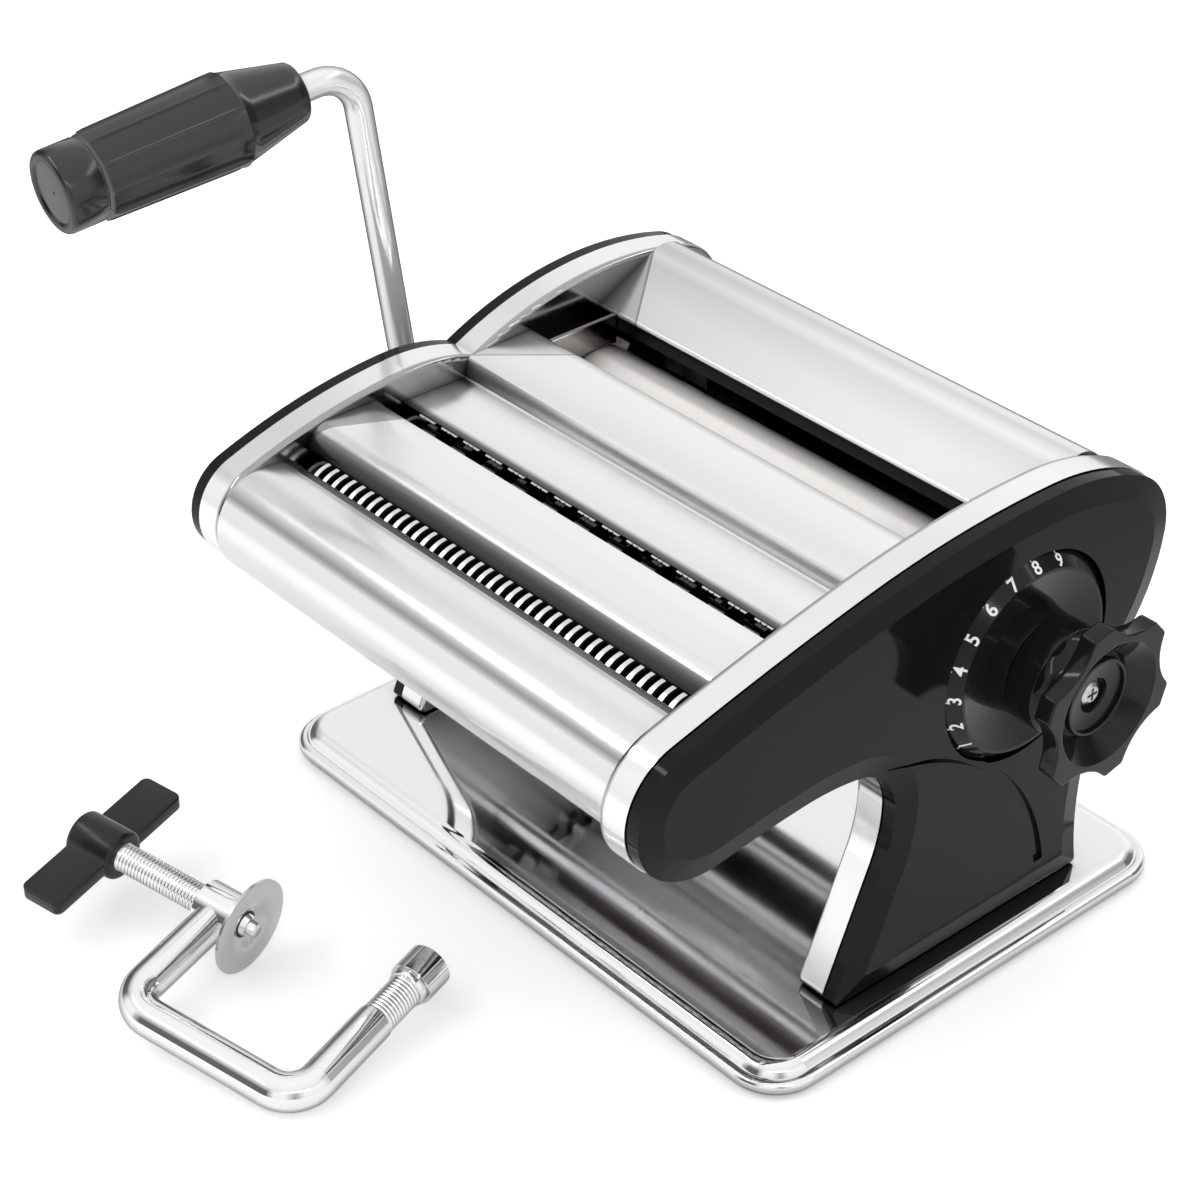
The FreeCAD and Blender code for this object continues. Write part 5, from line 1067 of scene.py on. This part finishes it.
# %% Screw thread
FEED = JOINTS["clamp_turn"]
CLAMP_TILT = (("Z", 15.3), ("Y", 5.9), ("X", 5.8))
SCREW_PLACE = Matrix.Translation(Vector(FEED["pos_m"]))
for axis, degrees in CLAMP_TILT:
    SCREW_PLACE = SCREW_PLACE @ Matrix.Rotation(math.radians(degrees), 4, axis)
PITCH, THREAD_DEPTH, THREAD_SEGMENTS, STATIONS_PER_TURN = 1.1, 0.34, 40, 8
SCREW_CREST, HOOK_CREST, STUD_RADIUS, STUD_END = 4.0, 4.75, 2.0, 11.8


def threaded(start, end, crest):
    """Stations and the ripple of a thread from start to end, in millimetres."""
    count = int((end - start) / PITCH * STATIONS_PER_TURN)
    stations = [(start + (end - start) * index / count, crest) for index in range(count + 1)]

    def ripple(along_x, radius, turn):
        if radius < crest or along_x < start or along_x > end:
            return radius
        phase = (along_x / PITCH + turn / (2 * math.pi)) % 1.0
        return radius - THREAD_DEPTH * abs(2 * phase - 1) ** 0.8

    return stations, ripple


SCREW_START, SCREW_END = -46.2, 6.2
screw_turns, screw_ripple = threaded(SCREW_START + 13.0, SCREW_END - 0.4, SCREW_CREST)
screw_stations = ([(SCREW_START, 0.02), (SCREW_START, 3.4), (SCREW_START + 0.5, 3.9),
                   (SCREW_START + 12.9, 3.9)] + screw_turns
                  + [(SCREW_END, 3.2), (SCREW_END, STUD_RADIUS), (STUD_END - 0.3, STUD_RADIUS),
                     (STUD_END, STUD_RADIUS - 0.3), (STUD_END, 0.02)])
screw = piece_from(lathe_form(screw_stations, THREAD_SEGMENTS, screw_ripple), "clamp_thread",
                   "clamp_chrome", SCREW_PLACE, sharp=60.0)
stand_in(screw, "clamp_spindle", "crank_chrome", "clamp_screw")
print("screw faces:", len(screw.data.polygons))

# %% [markdown]
# The hook of the clamp's rod carries a short threaded stretch below its cap, across the
# screw's axis.

# %% Hook thread
CLAMP_BACK, CLAMP_ARM, HOOK_STEP, HOOK_CAP = 55.0, 38.4, 31.8, 46.8
hook_base = SCREW_PLACE @ Matrix.Translation(Vector((CLAMP_BACK, -CLAMP_ARM, 0)) * MM)
hook_place = hook_base @ Matrix.Rotation(math.radians(90), 4, "Z")
hook_turns, hook_ripple = threaded(HOOK_STEP + 0.6, HOOK_CAP - 2.2, HOOK_CREST)
hook_stations = ([(HOOK_STEP + 0.2, 4.2)] + hook_turns
                 + [(HOOK_CAP - 2.1, 5.2), (HOOK_CAP - 1.9, 5.3), (HOOK_CAP - 0.1, 5.3)])
hook_thread = piece_from(lathe_form(hook_stations, THREAD_SEGMENTS, hook_ripple), "hook_thread",
                         "clamp_chrome", hook_place, sharp=60.0)
stand_in(hook_thread, "clamp", "crank_chrome")
print("hook thread faces:", len(hook_thread.data.polygons))

# %% [markdown]
# ## The edges of the two cutter slots
# The folds that hang down at the rear of each cutter slot would hide the rollers below them.
# The bridge and the deck are made again from the same section with those folds left short,
# so that the rings show across the whole slot.

# %% Slot edges
PANEL_END, PANEL_SHEET = 77.4, 0.95


def panel_skin(name, material, section):
    """A sheet along X over a section of (y, z) points; the sheet lies below the section."""
    below = []
    for index, (y, z) in enumerate(section):
        before = Vector(section[max(index - 1, 0)])
        after = Vector(section[min(index + 1, len(section) - 1)])
        ahead = (after - before).normalized()
        below.append((y + ahead.y * PANEL_SHEET, z - ahead.x * PANEL_SHEET))
    ring = list(section) + below[::-1]
    rows = [[Vector((x, y, z)) * MM for y, z in ring] for x in (-PANEL_END, PANEL_END)]
    form, rings = grid_form(rows)
    form.faces.new(rings[0])
    form.faces.new(rings[1])
    return piece_from(form, name, material, sharp=28.0)


NOSE_Y, NOSE_Z, NOSE_RADIUS = -69.0, 110.0, 7.0
nose = [(NOSE_Y - NOSE_RADIUS * math.cos(math.radians(turn)),
         NOSE_Z + NOSE_RADIUS * math.sin(math.radians(turn))) for turn in range(6, 91, 6)]
bridge = panel_skin("bridge_skin", "bridge_steel",
                    nose + [(-60.0, 117.0), (-53.4, 117.0), (-53.1, 116.85), (-53.0, 116.5),
                            (-53.0, 113.5)])
stand_in(bridge, "machine", "mirror_steel", "cutter_bridge_panel")
deck = panel_skin("deck_skin", "deck_steel",
                  [(-43.8, 112.9), (-43.65, 113.1), (-43.4, 113.19), (-32.0, 112.9),
                   (-23.2, 112.62), (-22.8, 112.7), (-22.4, 113.1), (-21.2, 117.9),
                   (-20.9, 118.4), (-20.4, 118.62), (-10.0, 118.9), (0.5, 119.18),
                   (1.1, 119.1), (1.4, 118.7), (1.4, 115.6)])
stand_in(deck, "machine", "mirror_steel", "deck_panel")
print("skin faces:", len(bridge.data.polygons), len(deck.data.polygons))

# %% [markdown]
# Small comb tips lie over the wide rollers, in threes along the slot. Their finish glows, so
# they also stand as painted highlights: bright dashes over the dark wide rings. A block of metal is
# a shape that comes up again, so it has a helper.

# %% Comb tips
COMB_PITCH, COMB_COUNT, COMB_START = 9.3, 16, (-73.0, -41.2, 110.1)
TIP_LENGTHS, TIP_GAP, TIP_DEPTH, TIP_HEIGHT, TIP_EDGE = (1.9, 1.3, 1.9), 0.55, 1.3, 0.5, 0.1


def add_block(form, size, middle=(0, 0, 0)):
    """Adds a block to a bmesh, by its size and middle in millimetres."""
    corners = bmesh.ops.create_cube(form, size=1.0)["verts"]
    bmesh.ops.scale(form, vec=Vector(size) * MM, verts=corners)
    bmesh.ops.translate(form, vec=Vector(middle) * MM, verts=corners)


def comb_tips():
    """A short row of comb tips, each a small block with soft edges, from x = 0 on."""
    form = bmesh.new()
    start = 0.0
    for length in TIP_LENGTHS:
        add_block(form, (length, TIP_DEPTH, TIP_HEIGHT), (start + length / 2, 0, 0))
        start += length + TIP_GAP
    bmesh.ops.bevel(form, geom=form.edges[:], offset=TIP_EDGE * MM, segments=1, affect="EDGES")
    return form


tips = repeated(comb_tips(), "comb_tips", "glowing_comb_steel", COMB_COUNT, shift=COMB_PITCH * MM,
                place=Matrix.Translation(Vector(COMB_START) * MM))
stand_in(tips, "machine", "mirror_steel")
print("comb tips:", COMB_COUNT * len(TIP_LENGTHS), "faces:", len(tips.data.polygons))

# %% [markdown]
# ## The pad and the wing nut
# The pad is a thin dished disc: flat at the stud, a soft shoulder and a flat rim. A dark ring
# under the staked ring is a painted shadow.

# %% Pad
PAD_X, PAD_SHEET, PAD_RADIUS, PAD_HOLE = 6.8, 1.0, 13.5, 2.2
PAD_BACK = PAD_X + PAD_SHEET


def ring_of(stations, segments=120):
    """A closed ring about X from a closed section."""
    rows = [[Vector((at, radius * math.cos(2 * math.pi * index / segments),
                     radius * math.sin(2 * math.pi * index / segments))) * MM
             for index in range(segments)] for at, radius in stations]
    return grid_form(rows, closed_rows=True)[0]


dish = [(0.0, PAD_HOLE), (0.0, 4.0), (0.15, 4.6), (0.55, 5.4), (1.2, 6.4), (1.7, 7.3), (1.95, 8.3),
        (2.0, 9.6), (1.95, 11.5), (1.9, 13.3)]
pad_stations = ([(PAD_X + at, radius) for at, radius in dish]
                + [(PAD_X + 2.05, PAD_RADIUS), (PAD_X + 1.8 + PAD_SHEET, PAD_RADIUS)]
                + [(PAD_X + at + PAD_SHEET, radius - 0.15) for at, radius in dish[:0:-1]]
                + [(PAD_BACK, PAD_HOLE)])
pad = piece_from(ring_of(pad_stations), "dished_pad", "pad_steel", SCREW_PLACE, sharp=50.0)
stand_in(pad, "clamp_plate", "pad_steel", "clamp_pad")
# A thin black ring behind the pad: a painted shadow.
pad_shadow_stations = [(PAD_BACK - 0.05, 2.3), (PAD_BACK - 0.05, 3.9), (PAD_BACK + 0.12, 3.8),
                   (PAD_BACK + 0.12, 2.3)]
pad_shadow_piece = piece_from(ring_of(pad_shadow_stations), "pad_shadow_ring", "shade_black", SCREW_PLACE)
stand_in(pad_shadow_piece, "clamp_plate", "pad_steel")
print("pad faces:", len(pad.data.polygons), "ring faces:", len(pad_shadow_piece.data.polygons))

# %% [markdown]
# The wing nut is a rounded hub on the screw between two flat wings with soft edges.

# %% Wing nut
HUB_START, HUB_END, HUB_RADIUS, HUB_BORE, HUB_SOFT = -48.2, -33.2, 7.0, 4.1, 1.3
WING_WIDTH, WING_SPAN, WING_THICK, WING_OVERLAP = 13.0, 25.0, 4.0, 1.5
WING_CORNER, WING_EDGE, HUB_SEGMENTS = 2.0, 0.65, 72


def hub_form():
    """The hub about X, with rounded rims at both ends."""
    rise = [math.radians(turn) for turn in (30, 60, 90)]
    fall = [math.radians(turn) for turn in (0, 30, 60)]
    return ring_of([(HUB_START, HUB_BORE), (HUB_START, HUB_RADIUS - HUB_SOFT)]
                   + [(HUB_START + HUB_SOFT * (1 - math.cos(turn)),
                       HUB_RADIUS - HUB_SOFT * (1 - math.sin(turn))) for turn in rise]
                   + [(HUB_END - HUB_SOFT * (1 - math.sin(turn)),
                       HUB_RADIUS - HUB_SOFT * (1 - math.cos(turn))) for turn in fall]
                   + [(HUB_END, HUB_RADIUS - HUB_SOFT), (HUB_END, HUB_BORE)], HUB_SEGMENTS)


def wing_mesh(side):
    """One flat wing: rounded outer corners first, then soft edges all round."""
    plate = bmesh.new()
    length = WING_SPAN - HUB_RADIUS + WING_OVERLAP
    add_block(plate, (WING_WIDTH, length, WING_THICK))
    uprights = [edge for edge in plate.edges
                if abs((edge.verts[0].co - edge.verts[1].co).normalized().z) > 0.9]
    outer = [edge for edge in uprights if edge.verts[0].co.y * side > 0]
    bmesh.ops.bevel(plate, geom=outer, offset=WING_CORNER * MM, segments=4, affect="EDGES",
                    profile=0.5)
    bmesh.ops.bevel(plate, geom=plate.edges[:], offset=WING_EDGE * MM, segments=3,
                    affect="EDGES", profile=0.5, clamp_overlap=True)
    spot = ((HUB_START + HUB_END) / 2, side * (HUB_RADIUS - WING_OVERLAP + length / 2), 0)
    bmesh.ops.translate(plate, verts=plate.verts, vec=Vector(spot) * MM)
    mesh = bpy.data.meshes.new("wing")
    plate.to_mesh(mesh)
    plate.free()
    return mesh


wing_form = hub_form()
for side in (-1, 1):
    half = wing_mesh(side)
    wing_form.from_mesh(half)
    bpy.data.meshes.remove(half)
wing = piece_from(wing_form, "wing_nut", "wing_black", SCREW_PLACE, sharp=60.0)
stand_in(wing, "clamp_spindle", "wing_black", "clamp_wing_nut")
print("wing nut faces:", len(wing.data.polygons))

# %% [markdown]
# ## A dark tab for the shade in the rear corner
# The rear cover's sheet ends short of the left frame. A small black tab on the inside of the
# frame closes the corner, so that no daylight comes through the slot of the rollers; its black
# stands in for the shade there, as painted shade.

# %% Corner tab
TAB_LOW, TAB_HIGH = Vector((-77.45, 59.8, 82.0)), Vector((-68.5, 60.3, 91.5))
TAB_EDGE = 0.12
shade_tab_form = bmesh.new()
add_block(shade_tab_form, TAB_HIGH - TAB_LOW, (TAB_LOW + TAB_HIGH) / 2)
bmesh.ops.bevel(shade_tab_form, geom=shade_tab_form.edges[:], offset=TAB_EDGE * MM, segments=2,
                affect="EDGES", profile=0.5)
shade_tab = piece_from(shade_tab_form, "corner_shade_tab", "shade_black")
stand_in(shade_tab, "machine", "mirror_steel")
print("tab faces:", len(shade_tab.data.polygons))

# %% [markdown]
# ## Quiet mirrors
# The grip, the wing nut and the pad would draw dark smears in the bent sheets. A small
# object seen in brushed steel hardly shows, so these pieces are left out of mirror images.

# %% Leave small pieces out of the mirrors
unmirrored = (grip, ribs, cap, wing, pad)
for item in unmirrored:
    item.visible_glossy = False
print("left out of mirror images:", [item.name for item in unmirrored])
